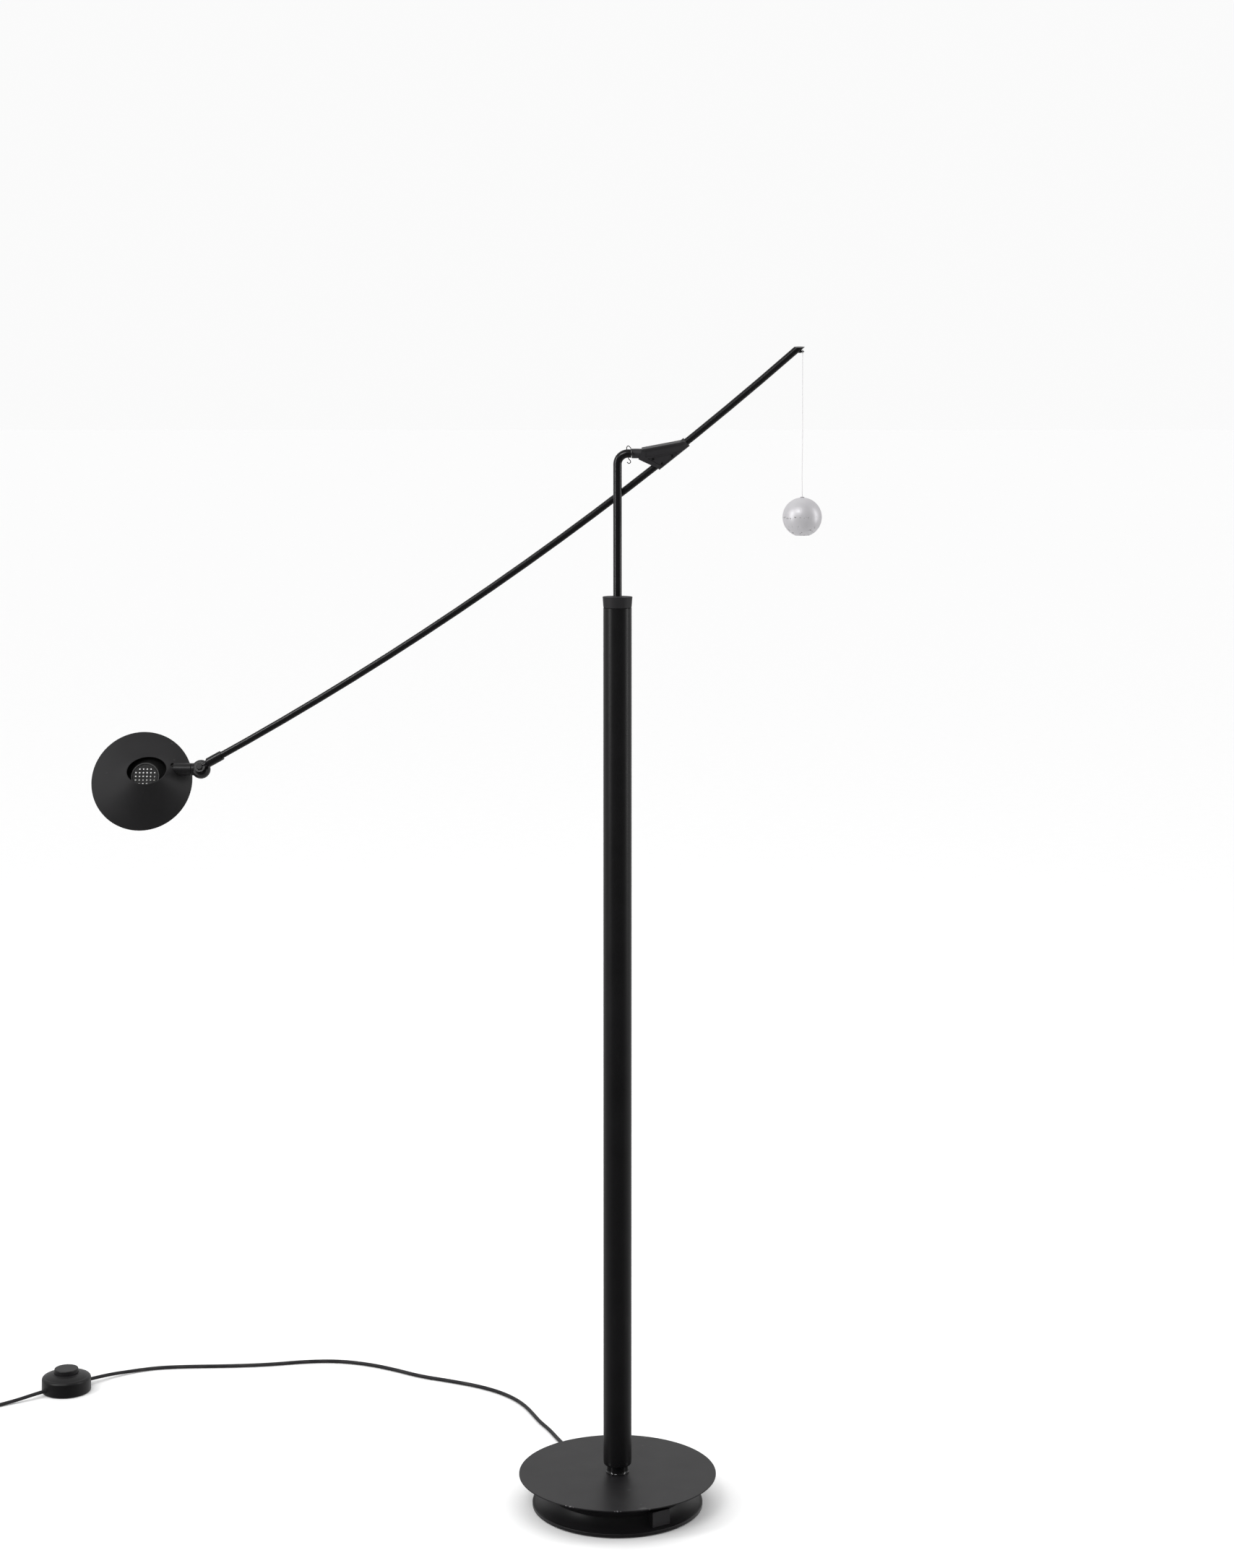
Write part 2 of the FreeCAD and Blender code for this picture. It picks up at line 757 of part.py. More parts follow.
def bracket():
    """Moulded body: collar, webbed triangle with a cover seat, and a sleeve for the arm."""
    thick = size("bracket_thick")
    front = thick / 2
    body = new_body("bracket_body", ARM)
    sketch = new_sketch(body, "XZ_Plane")
    outline = bracket_outline()
    draw_outline(sketch, outline)
    pad(body, sketch, thick, middle=True)
    rail = new_sketch(body, "XZ_Plane")
    root_x, root_z = outline[0]
    tip_x, tip_z = outline[1]
    draw_outline(rail, [outline[0], outline[1], (tip_x, tip_z - RAIL), (root_x, root_z - RAIL)])
    pad(body, rail, thick + 1.6, middle=True)
    collar = size("collar_radius")
    start = size("stem_end") + 1.2
    length = size("collar_length") + 1.0
    place = Placement(Vector(start.value, 0, 0), ALONG_X)
    cylinder_in(body, collar, length, place)
    cylinder_in(body, front + 0.15, 54.0, arm_line(-28.0))
    for reverse in (False, True):
        lift = -front + 0.7 if reverse else front - 0.7
        strip = [(root_x + 5.0, root_z - RAIL - 0.6), (tip_x - 1.2, tip_z - RAIL - 0.9),
                 (tip_x + 2.2, tip_z - 13.4), (root_x + 5.0, root_z - 11.6)]
        cut_pocket(body, "XZ_Plane", strip, 3.0, lift, not reverse)
    seat = cover_corners(0)
    cut_pocket(body, "XZ_Plane", seat, 3.0, front - COVER_DEPTH, True)
    cut_pocket(body, "XZ_Plane", cover_corners(3.2), 5.0, front - COVER_DEPTH - 4.0, True)
    journal = size("journal_radius") + gap
    cylinder_in(body, journal, length + 2.0, place, add=False)
    chamber = Placement(Vector((size("stem_end") + size("collar_length") + 0.9).value, 0, 0), ALONG_X)
    cylinder_in(body, journal + 2.2, 5.2, chamber, add=False)
    cylinder_in(body, size("arm_radius") + ARM_FIT, 90.0, arm_line(-45.0), add=False)
    for spot in cover_screw_spots():
        hole = Placement(Vector(spot[0].value, -front.value + COVER_DEPTH - 1.0, spot[1].value),
                         ALONG_Y)
        cylinder_in(body, 0.9, 1.25, hole, add=False)


def bracket_cover():
    thick = size("bracket_thick")
    body = new_body("bracket_cover", ARM)
    sketch = new_sketch(body, "XZ_Plane", thick / 2 - COVER_DEPTH)
    draw_outline(sketch, cover_corners(COVER_GAP))
    pad(body, sketch, COVER_THICK)
    cut_through(body, "XZ_Plane", cover_screw_spots(), 0.9)
    screw = screw_shape(1.7, 0.9, 0.9, COVER_THICK + 0.2, 0.7, 0.5)
    places = []
    for spot in cover_screw_spots():
        depth = -thick.value / 2 + COVER_DEPTH - COVER_THICK
        place = Placement(Vector(spot[0].value, depth, spot[1].value), Rotation(X_DIR, 90))
        places.append(ARM.multiply(place))
    repeated("bracket_cover_screws", screw, places)


def rounded_wire(points, radii):
    """Straight runs joined by tangent arcs, with its radii."""
    edges = []
    last = points[0]
    for index in range(1, len(points) - 1):
        corner = points[index]
        back = (points[index - 1] - corner)
        ahead = (points[index + 1] - corner)
        turn = math.pi - back.getAngle(ahead)
        setback = radii[index - 1] * math.tan(turn / 2)
        first = corner + back.normalize() * setback
        final = corner + ahead.normalize() * setback
        middle = (back + ahead).normalize()
        centre_distance = radii[index - 1] / math.cos(turn / 2)
        mid = corner + middle * (centre_distance - radii[index - 1])
        edges.append(Part.LineSegment(last, first).toShape())
        edges.append(Part.Arc(first, mid, final).toShape())
        last = final
    edges.append(Part.LineSegment(last, points[-1]).toShape())
    return Part.Wire(edges)


def swept(wire, radius, direction):
    """A round section swept along a wire that starts in the given direction."""
    start = wire.Vertexes[0].Point
    section = Part.Wire([Part.Circle(start, direction, radius).toShape()])
    return wire.makePipeShell([section], True, False)


def largest_radii(points):
    """Each arc as large as its two runs allow."""
    radii = []
    for index in range(1, len(points) - 1):
        back = points[index - 1] - points[index]
        ahead = points[index + 1] - points[index]
        turn = math.pi - back.getAngle(ahead)
        radii.append(0.45 * min(back.Length, ahead.Length) / math.tan(turn / 2))
    return radii


CLIP_POINTS = [(23.1, -7.5, -0.4), (20.6, -7.2, 4.2), (18.4, -3.8, 9.0), (15.2, 0.0, 11.2),
               (12.9, 4.4, 8.6), (12.9, 8.2, 2.6), (13.8, 8.2, -3.2), (15.2, 4.6, -8.2),
               (18.2, 0.6, -10.6), (18.4, -1.0, -13.0), (15.8, -1.4, -14.2), (13.4, -1.2, -12.2)]


def clip():
    """Formed wire that hooks round the joint between stem and collar."""
    shift = size("stem_end").value - 18.8
    points = [Vector(x + shift, y, z) for x, y, z in CLIP_POINTS]
    wire = rounded_wire(points, largest_radii(points))
    shape = swept(wire, 0.6, points[1] - points[0])
    plain("bracket_clip", shape, ARM)


bracket()
bracket_cover()
clip()

# ---------------------------------------------------------------- arm

TIP_FLAT = 150.9
HANGER = Vector(257.0, 0, 144.6)


def arm():
    """The long curved tube, with its centre of curvature far above the floor."""
    radius = size("arm_bend_radius")
    cross = slope.value
    centre = Vector(size("arm_cross").value - radius.value * math.sin(math.radians(cross)), 0,
                    radius.value * math.cos(math.radians(cross)))
    ball_turn = math.degrees(size("arm_ball_reach").value / radius.value)
    # measured about Y from X, the ball's end of the arc comes first
    start = 90 - cross - ball_turn
    place = ARM.multiply(Placement(centre, Rotation(Y_DIR, start)))
    span = (size("arm_ball_reach") + size("arm_head_reach")) / radius * Size(180 / math.pi, "180 / pi")
    body = new_body("arm_tube", place)
    sketch = new_sketch(body, "XY_Plane")
    draw_circle(sketch, radius, 0, size("arm_radius") - size("arm_wall"))
    draw_circle(sketch, radius, 0, size("arm_radius"))
    revolve(body, sketch, "Y_Axis", span)


def arm_tip():
    """Solid end of the arm, cut level on top, with the lug and pin that carry the hanger."""
    start, angle = arm_point(size("arm_ball_reach").value)
    turn = math.radians(angle)
    along = Rotation(Z_DIR, Vector(math.cos(turn), 0, math.sin(turn)))
    body = new_body("arm_tip", ARM)
    cylinder_in(body, size("arm_radius"), 30.0, Placement(start, along))
    spigot = start - Vector(math.cos(turn), 0, math.sin(turn)) * 12
    cylinder_in(body, size("arm_radius") - size("arm_wall"), 13.0, Placement(spigot, along))
    cap = body.newObject("PartDesign::SubtractiveBox", "arm_tip_cut")
    cap.Length = 60
    cap.Width = 20
    cap.Height = 20
    shift = start - arm_point(222.0)[0]
    cap.Placement = Placement(Vector(225, -10, TIP_FLAT) + shift, Rotation())
    lug = HANGER + shift
    cylinder_in(body, 2.0, 5.8, Placement(lug - Vector(7.2, 0, 0), ALONG_X))
    cylinder_in(body, 0.9, 9.0, Placement(lug - Vector(7.0, 0, 0), ALONG_X))
    return lug


hanger_spot = ARM.multVec(arm_tip())
arm()

# ---------------------------------------------------------------- counterweight

HANGER_RADIUS = 2.3
BALL_FLAT = 25.7
PLUG_RISE = 1.2


def counterweight():
    """Hanger ring, thread and ball weight, straight below the arm's tip."""
    ring = Placement(hanger_spot - Vector(0.7, 0, 0), ALONG_X)
    turned("hanger_ring", ring_outline(0.9 + gap, HANGER_RADIUS, 0, 1.4, 0.3), ring)
    length = size("thread_length")
    ball = size("ball_radius")
    x, y, z = hanger_spot
    ball_place = Placement(Vector(x, y, (z - length - ball).value), Rotation())
    top_flat = (ball.value ** 2 - 3.0 ** 2) ** 0.5
    centre = Vector(0, 0, 0)
    sphere = Part.makeSphere(ball.value, centre, Z_DIR, -90, 90, 360)
    keeper = Part.makeBox(80, 80, BALL_FLAT + top_flat, Vector(-40, -40, -BALL_FLAT))
    bore = Part.makeCylinder(2.0, 14.0, Vector(0, 0, top_flat - 12.0))
    plain("weight_ball", sphere.common(keeper).cut(bore), ball_place)
    turned("weight_plug", [
        (size("thread_radius"), top_flat - 12.0), (2.0, top_flat - 12.0), (2.0, top_flat),
        (3.0, top_flat), (3.0, top_flat + 0.6), (2.2, top_flat + PLUG_RISE),
        (size("thread_radius"), top_flat + PLUG_RISE)], ball_place)
    thread_low = z - length - ball + top_flat - 12.0
    thread = doc.addObject("Part::Cylinder", "weight_thread")
    bind(thread, "Radius", size("thread_radius"))
    thread_top = z - HANGER_RADIUS - 0.1
    bind(thread, "Height", thread_top - thread_low)
    thread.Placement = Placement(Vector(x, y, thread_low.value), Rotation())
    keep("weight_thread", thread)


counterweight()

# ---------------------------------------------------------------- head joint

EYE_REACH = 21.0
arm_end, arm_end_slope = arm_point(-size("arm_head_reach").value)
eye_turn = math.radians(arm_end_slope)
eye_direction = Vector(math.cos(eye_turn), 0, math.sin(eye_turn))
eye_spot = ARM.multVec(arm_end - eye_direction * EYE_REACH)
shade_pitch = size("shade_pitch").value

# X along the stub, Y along the pin and away from the viewer
HEAD = Placement(eye_spot, Rotation(X_DIR, -shade_pitch))


def arm_socket():
    """Sleeve on the arm's end that narrows to a flat eye for the pin."""
    local = HEAD.Rotation.inverted().multVec(ARM.Rotation.multVec(eye_direction))
    along = Rotation(Z_DIR, local)
    outer = size("socket_radius")
    thick = size("eye_thick")
    body = new_body("arm_socket", HEAD)
    eye_start = Vector(0, -thick.value / 2, 0)
    cylinder_in(body, size("eye_radius"), thick, Placement(eye_start, ALONG_Y))
    neck = thick / 2 - 1.1
    cylinder_in(body, neck, 12.0, Placement(Vector(0, 0, 0), along))
    cone = body.newObject("PartDesign::AdditiveCone", "arm_socket_cone")
    cone.Radius1 = neck.value
    bind(cone, "Radius1", neck)
    cone.Radius2 = outer.value
    bind(cone, "Radius2", outer)
    cone.Height = 4.5
    cone.Placement = Placement(local * 10.0, along)
    cylinder_in(body, outer, size("socket_length") - 8.5, Placement(local * 14.5, along))
    cylinder_in(body, size("arm_radius") + 0.03, 40.0, Placement(local * EYE_REACH, along),
                add=False)
    cylinder_in(body, size("pin_radius") + gap, thick + 2.0,
                Placement(eye_start - Vector(0, 1, 0), ALONG_Y), add=False)


BALL_FACE = 4.9
TENON = 5.0


def knuckle():
    """Ball with a flat face for the eye, its pin, washer and the tenon that carries the shade."""
    offset = size("knuckle_offset")
    radius = size("knuckle_radius")
    seat = offset - BALL_FACE
    face = (radius * radius - seat * seat).value ** 0.5
    pin = size("pin_radius")
    along_pin = HEAD.multiply(Placement(Vector(0, offset.value, 0), ALONG_Y))
    ball = turned("knuckle_ball", [
        (pin, -seat), (face, -seat), (radius, 0, radius),
        (6.0, (radius * radius - 36).value ** 0.5, radius), (5.0, radius - 2.4), (pin, radius - 2.4)],
        along_pin)
    toward_shade = Placement(Vector(0, 0, 0), Rotation(Y_DIR, -90))
    local = Placement(Vector(0, 0, 0), ALONG_Y.inverted()).multiply(toward_shade)
    collar = Placement(local.multVec(Vector(0, 0, 9.5)), local.Rotation)
    cylinder_in(ball, size("stub_radius"), radius - 9.5, collar)
    cylinder_in(ball, TENON, radius - 3.6, Placement(local.multVec(Vector(0, 0, 6.0)), local.Rotation),
                add=False)
    to_stub = HEAD.multiply(Placement(Vector(0, offset.value, 0), Rotation(Y_DIR, -90)))
    end = size("sleeve_end")
    turned("stub_tenon", [(1.5, 6.0), (TENON, 6.0), (TENON, end + 3.0), (1.5, end + 3.0)], to_stub)
    turned("tenon_nut", ring_outline(TENON, TENON + 2.0, end + 0.3, end + 2.6, 0.4), to_stub)
    head_y = -size("eye_thick") / 2 - 0.3
    pin_place = HEAD.multiply(Placement(Vector(0, 0, 0), ALONG_Y))
    cap = size("eye_radius") - 3.2
    turned("hinge_pin", [
        (0, head_y - 2.2), (cap - 0.8, head_y - 2.2), (cap, head_y - 1.4, 0.8), (cap, head_y),
        (pin, head_y), (pin, offset + radius - 4.0), (0, offset + radius - 4.0)], pin_place)
    turned("hinge_washer", ring_outline(pin, size("eye_radius") - 0.4,
                                        size("eye_thick") / 2 + 0.1, BALL_FACE), pin_place)
    return to_stub


arm_socket()
stub_frame = knuckle()

# ---------------------------------------------------------------- shade

# the shade's own frame has its origin at the rim's centre and its Z towards the vent
SHADE_OFFSET = Vector(-88.3, 33.3, -12.6)
SHADE = HEAD.multiply(Placement(SHADE_OFFSET, Rotation(X_DIR, 90)))
VENT_EDGE = 1.2
RIM_EDGE = 2.0


def vent_place():
    """The slanted vent's own plane, seen from the rim's centre."""
    return Placement(Vector(size("vent_side").value, size("vent_up").value, size("vent_height").value),
                     Rotation(X_DIR, -size("vent_tilt").value))


def loft(body, low_radius, high_radius, kind):
    rim = new_sketch(body, "XY_Plane")
    draw_circle(rim, 0, 0, low_radius)
    vent = new_sketch(body, "XY_Plane", offset=vent_place())
    draw_circle(vent, 0, 0, high_radius)
    feature = body.newObject(kind, body.Name + "_loft")
    feature.Profile = rim
    feature.Sections = [vent]
    feature.Ruled = True
    return feature


def shade():
    """Spun shade between a round rim and a slanted round vent."""
    body = new_body("shade", SHADE)
    loft(body, size("rim_radius"), size("vent_radius"), "PartDesign::AdditiveLoft")
    loft(body, size("rim_radius") - RIM_EDGE, size("vent_radius") - VENT_EDGE,
         "PartDesign::SubtractiveLoft")
    return body


def shade_socket(shade_part):
    """Sleeve that carries the shade on the tenon, and its hole through the shade's wall."""
    outer = size("stub_radius")
    inner = TENON + gap
    low = size("knuckle_radius") + 0.4
    high = size("sleeve_end")
    turned("shade_socket", [
        (inner, low), (outer - 0.5, low), (outer, low + 0.5), (outer, high - 0.8),
        (outer - 0.8, high), (inner, high)], stub_frame)
    hole = SHADE.inverse().multiply(stub_frame)
    start = hole.multVec(Vector(0, 0, 9.0))
    cylinder_in(shade_part, outer, high - 4.0, Placement(start, hole.Rotation), add=False)


REFLECTOR_X = 8.0
REFLECTOR_Y = 2.0
REFLECTOR_NECK = 19.0
REFLECTOR_MOUTH = 50.0
REFLECTOR_LOW = 3.4
REFLECTOR_HIGH = 20.5
SHEET = 0.8
HOLE_PITCH = 5.4
HOLE_RADIUS = 1.1
RING_SLACK = 1.33


def reflector():
    """Conical reflector with a perforated back, and the ring that closes the shade round it."""
    place = SHADE.multiply(Placement(Vector(REFLECTOR_X, REFLECTOR_Y, 0), Rotation()))
    low = REFLECTOR_LOW
    high = REFLECTOR_HIGH
    body = turned("reflector", [
        (REFLECTOR_MOUTH, low), (REFLECTOR_MOUTH + 2.0, low), (REFLECTOR_NECK + 1.2, high + SHEET),
        (0, high + SHEET), (0, high), (REFLECTOR_NECK, high)], place)
    spots = []
    for column in range(6):
        for row in range(5):
            across = (column - 2.5) * HOLE_PITCH
            up = (row - 2) * HOLE_PITCH
            if math.hypot(across, up) < REFLECTOR_NECK - 3.0:
                spots.append((across, up))
    cut_through(body, "XY_Plane", spots, HOLE_RADIUS, high)
    turned("vent_gauze", ring_outline(0, REFLECTOR_NECK - 0.6, high + SHEET, high + SHEET + 0.5),
           place)
    ring = new_body("shade_ring", SHADE)
    sketch = new_sketch(ring, "XY_Plane", low - SHEET)
    rim = size("rim_radius")
    drawn_in = (rim - size("vent_radius")) / size("vent_height") * low
    draw_circle(sketch, 1.0, -1.0, rim - RIM_EDGE - drawn_in - RING_SLACK)
    draw_circle(sketch, REFLECTOR_X, REFLECTOR_Y, REFLECTOR_MOUTH + 0.4)
    pad(ring, sketch, SHEET)


def lamp():
    """Lampholder on its strap, and a small capsule bulb lying across the reflector."""
    place = SHADE.multiply(Placement(Vector(REFLECTOR_X, REFLECTOR_Y, 11.0), ALONG_X))
    holder = new_body("lampholder", place)
    sketch = new_sketch(holder, "XY_Plane", 12.0)
    draw_outline(sketch, [(-5.5, -6), (5.5, -6), (5.5, 6), (-5.5, 6)])
    pad(holder, sketch, 12.0)
    turned("bulb", [(0, -18.0), (2.0, -17.4), (5.0, -13.5, 6.0), (5.0, 7.0), (3.6, 9.0),
                    (3.6, 12.0), (0, 12.0)], place)
    strap = new_body("lampholder_strap", SHADE.multiply(
        Placement(Vector(REFLECTOR_X, REFLECTOR_Y, 0), Rotation())))
    sketch = new_sketch(strap, "XZ_Plane")
    draw_outline(sketch, [(12.0, 16.5), (17.0, 16.5), (17.0, REFLECTOR_HIGH),
                          (8.0, REFLECTOR_HIGH), (8.0, REFLECTOR_HIGH - 1.0),
                          (16.0, REFLECTOR_HIGH - 1.0), (16.0, 17.5), (12.0, 17.5)])
    pad(strap, sketch, 5.0, middle=True)


shade_body = shade()
shade_socket(shade_body)
reflector()
lamp()

# ---------------------------------------------------------------- foot switch

SWITCH = Placement(Vector(-876.0, 450.0, 0), Rotation(Z_DIR, 42.0))
SWITCH_WALL = 2.5
SWITCH_SPLIT = 9.0
LEAD_ENTRY = 8.0
BUSH_BORE = 4.4
BUSH_LENGTH = 17.0
BUSH_INSIDE = 16.0
# rubber bellows that lifts the button, standing on the contact block
BELLOWS_RADIUS = 4.6
BELLOWS_WALL = 1.0
BELLOWS_DEPTH = 0.8
BELLOWS_FOLD = 1.9
BELLOWS_FOLDS = 5
BELLOWS_FOOT = 6.0
BELLOWS_TOP = 16.7


def foot_switch():
    """Round two-part housing with a tall button, a contact block and a return spring."""
    radius = size("switch_radius")
    high = size("switch_height")
    button = size("switch_button_radius")
    split = size_of(SWITCH_SPLIT)
    lower = turned("switch_lower_shell", [
        (0, 0), (radius - 1.6, 0), (radius, 1.8, 2.2), (radius, split), (radius - SWITCH_WALL, split),
        (radius - SWITCH_WALL, 2.5), (0, 2.5)], SWITCH)
    upper = turned("switch_upper_shell", [
        (radius - SWITCH_WALL, split), (radius, split), (radius, high - 9.5),
        (radius - 4.2, high - 5.0, 4.6), (button + 4.0, high - 0.8, 40.0), (button + 2.4, high),
        (button + free, high), (button + free, high - 6.0), (button + 2.4, high - 6.0),
        (button + 2.4, high - 3.4), (radius - SWITCH_WALL - 2.4, high - 8.0),
        (radius - SWITCH_WALL, high - 10.5)], SWITCH)
    bushes = []
    for sign in (1, -1):
        direction = Rotation(Y_DIR, 90 * sign)
        start = Vector(sign * (radius.value - BUSH_INSIDE), 0, LEAD_ENTRY)
        for part in (lower, upper):
            cylinder_in(part, BUSH_BORE, 24.0, Placement(start, direction), add=False)
        sleeve = Part.makeCylinder(BUSH_BORE, BUSH_INSIDE + 0.5)
        nose = Part.makeCone(BUSH_BORE, lead_radius.value + 0.6, BUSH_LENGTH - BUSH_INSIDE - 0.5,
                             Vector(0, 0, BUSH_INSIDE + 0.5))
        bush = sleeve.fuse(nose)
        bush.Placement = SWITCH.multiply(Placement(start, direction))
        bushes.append(bush)
    plain("switch_bushes", Part.makeCompound(bushes))
    turned("switch_button", [
        (0, high - 12.0), (7.0, high - 12.0), (7.0, high - 8.0), (button, high - 8.0),
        (button, high + size("switch_button_rise") - 1.4),
        (button - 1.4, high + size("switch_button_rise"), 1.4),
        (0, high + size("switch_button_rise"))], SWITCH)
    block = new_body("switch_contact_block", SWITCH)
    sketch = new_sketch(block, "XY_Plane", 2.5)
    draw_outline(sketch, [(-11, -9), (11, -9), (11, 9), (-11, 9)])
    pad(block, sketch, 3.5)
    folds = [(BELLOWS_RADIUS - BELLOWS_DEPTH * (step % 2), BELLOWS_FOOT + BELLOWS_FOLD * (step + 0.7))
             for step in range(BELLOWS_FOLDS)]
    outer = [(BELLOWS_RADIUS, BELLOWS_FOOT)] + folds + [(BELLOWS_RADIUS, BELLOWS_TOP)]
    inner = [(wide - BELLOWS_WALL, tall) for wide, tall in reversed(outer)]
    turned("switch_spring", outer + inner, SWITCH)
    screw = screw_shape(2.6, 1.4, 1.2, 6.0, 1.1, 0.8)
    places = []
    for step in range(2):
        spot = polar(26.0, 90 + 180 * step, 2.0)
        places.append(SWITCH.multiply(Placement(spot, Rotation(X_DIR, 180))))
        cylinder_in(lower, 2.6, 4.0, Placement(polar(26.0, 90 + 180 * step, -1.0), Rotation()),
                    add=False)
    repeated("switch_screws", screw, places)


foot_switch()

# ---------------------------------------------------------------- mains lead

LEAD_Z = 2.75
# free routes between the pieces that the lead meets, chosen by hand
BASE_TO_SWITCH = [
    (-55.9, 145.7, 12.0), (-65.2, 169.9, 9.6), (-74.2, 194.0, 5.8), (-83.5, 220.0, 3.2),
    (-93.5, 247.0, 2.75), (-104.5, 277.0, 2.75), (-119.5, 308.0, 2.75), (-131.0, 341.0, 2.75),
    (-144.0, 375.0, 2.75), (-163.0, 408.0, 2.75), (-190.0, 438.0, 2.75), (-226.0, 464.0, 2.75),
    (-271.0, 486.0, 2.75), (-318.0, 506.0, 2.75), (-362.0, 537.0, 2.75), (-407.0, 562.0, 2.75),
    (-458.0, 577.0, 2.75), (-511.0, 574.0, 2.75), (-566.0, 560.0, 2.75), (-630.0, 553.0, 2.75),
    (-695.0, 551.0, 2.75), (-742.0, 546.0, 2.75), (-770.0, 536.0, 2.9), (-793.0, 523.0, 3.8),
    (-812.0, 509.0, 5.6), (-830.5, 491.0, 7.4)]
SWITCH_TO_COIL = [
    (-920.5, 410.0, 7.4), (-938.5, 397.6, 5.0), (-955.0, 387.8, 3.1), (-969.8, 376.6, 2.75),
    (-982.0, 362.2, 2.75)]
COIL_CENTRE = Vector(-1024.0, 362.0, 0)
COIL_MID = 31.0
COIL_HALF = 9.6
COIL_HIGH = 13.8
PLUG_TURN = 200.0
PLUG_Z = 7.0


def gland_tip():
    return polar(size("waist_radius").value - GLAND_SEAT + GLAND_LENGTH, GLAND_AZIMUTH, GLAND_HEIGHT)


def bush_tip(side):
    """End of a foot switch bush: side 1 faces the base, side -1 the plug."""
    reach = size("switch_radius").value - BUSH_INSIDE + BUSH_LENGTH
    return SWITCH.multVec(Vector(side * reach, 0, LEAD_ENTRY))


def cord_tube(label, points):
    """A free stretch of the lead, each bend as gentle as its runs allow."""
    vectors = [Vector(*point) for point in points]
    radii = largest_radii(vectors)
    wire = rounded_wire(vectors, radii)
    tube = swept(wire, lead_radius.value, vectors[1] - vectors[0])
    expected = math.pi * lead_radius.value ** 2 * wire.Length
    print("%s: length %.1f, volume ratio %.4f, radii %s" % (
        label, wire.Length, tube.Volume / expected, " ".join("%.0f" % r for r in radii)))
    plain(label, tube)


def coil_and_plug():
    """The put-away length as one ring, its tie, and the plug on its end."""
    place = Placement(COIL_CENTRE, Rotation())
    inner = COIL_MID - COIL_HALF
    outer = COIL_MID + COIL_HALF
    turned("lead_coil", [(inner, 3.0), (inner + 3.0, 0, 3.0), (outer - 3.0, 0), (outer, 3.0, 3.0),
                         (outer, COIL_HIGH - 3.0), (outer - 3.0, COIL_HIGH, 3.0),
                         (inner + 3.0, COIL_HIGH), (inner, COIL_HIGH - 3.0, 3.0)], place)
    turn = math.radians(PLUG_TURN)
    radial = Vector(math.cos(turn), math.sin(turn), 0)
    heading = Vector(math.sin(turn), -math.cos(turn), 0)
    leave = COIL_CENTRE + radial * (outer - lead_radius.value)
    points = []
    for along, height in ((15.0, LEAD_Z), (26.0, 3.0), (37.0, 4.6), (48.0, PLUG_Z), (59.0, PLUG_Z)):
        points.append(tuple(leave + heading * along + Vector(0, 0, height)))
    cord_tube("lead_plug_end", points)
    forward = Rotation(Z_DIR, heading.cross(Z_DIR), heading, "ZXY")
    relief = Placement(leave + heading * 59.0 + Vector(0, 0, PLUG_Z), forward)
    turned("plug_relief", [(0, 0), (3.2, 0), (4.6, 22.0), (5.2, 23.0), (5.2, 26.0), (0, 26.0)], relief)
    body = new_body("plug_body", relief)
    sketch = new_sketch(body, "XY_Plane", 26.0)
    narrow = [(-6.6, -9.0), (6.6, -9.0), (6.6, 9.0), (-6.6, 9.0)]
    draw_outline(sketch, narrow)
    face = new_sketch(body, "XY_Plane", 60.0)
    draw_outline(face, [(-6.9, -17.5), (6.9, -17.5), (6.9, 17.5), (-6.9, 17.5)])
    loft_feature = body.newObject("PartDesign::AdditiveLoft", "plug_loft")
    loft_feature.Profile = sketch
    loft_feature.Sections = [face]
    loft_feature.Ruled = True
    pins = []
    for side in (-1, 1):
        shank = Part.makeCylinder(2.0, 19.0, Vector(0, side * 9.3, 60.0))
        tip = [edge for edge in shank.Edges if edge.BoundBox.ZMin > 78.0]
        pins.append(shank.makeFillet(0.9, tip))
    plain("plug_pins", Part.makeCompound(pins), relief)


cord_tube("lead_base_to_switch", [gland_tip()] + BASE_TO_SWITCH + [bush_tip(1)])
cord_tube("lead_switch_to_coil", [bush_tip(-1)] + SWITCH_TO_COIL)
coil_and_plug()

# ---------------------------------------------------------------- checks and files

doc.recompute()
for thing in doc.Objects:
    bad = [word for word in thing.State if word in ("Invalid", "Error")]
    if bad:
        raise RuntimeError("%s is %s" % (thing.Name, bad))
    if thing.TypeId in ("PartDesign::Pocket", "PartDesign::Groove", "PartDesign::SubtractiveLoft",
                        "PartDesign::SubtractiveCylinder", "PartDesign::SubtractiveBox"):
        if thing.BaseFeature.Shape.Volume - thing.Shape.Volume < 0.01:
            raise RuntimeError("%s cuts nothing" % thing.Name)
os.makedirs("parts", exist_ok=True)
for label, thing in nodes.items():
    if thing.Shape.isNull() or not thing.Shape.isValid():
        raise RuntimeError("%s has no valid shape" % label)
    thing.Shape.exportStep("parts/%s.step" % label)
print("%d sub-parts written" % len(nodes))
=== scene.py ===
import json
import math

import bpy
from mathutils import Matrix, Vector


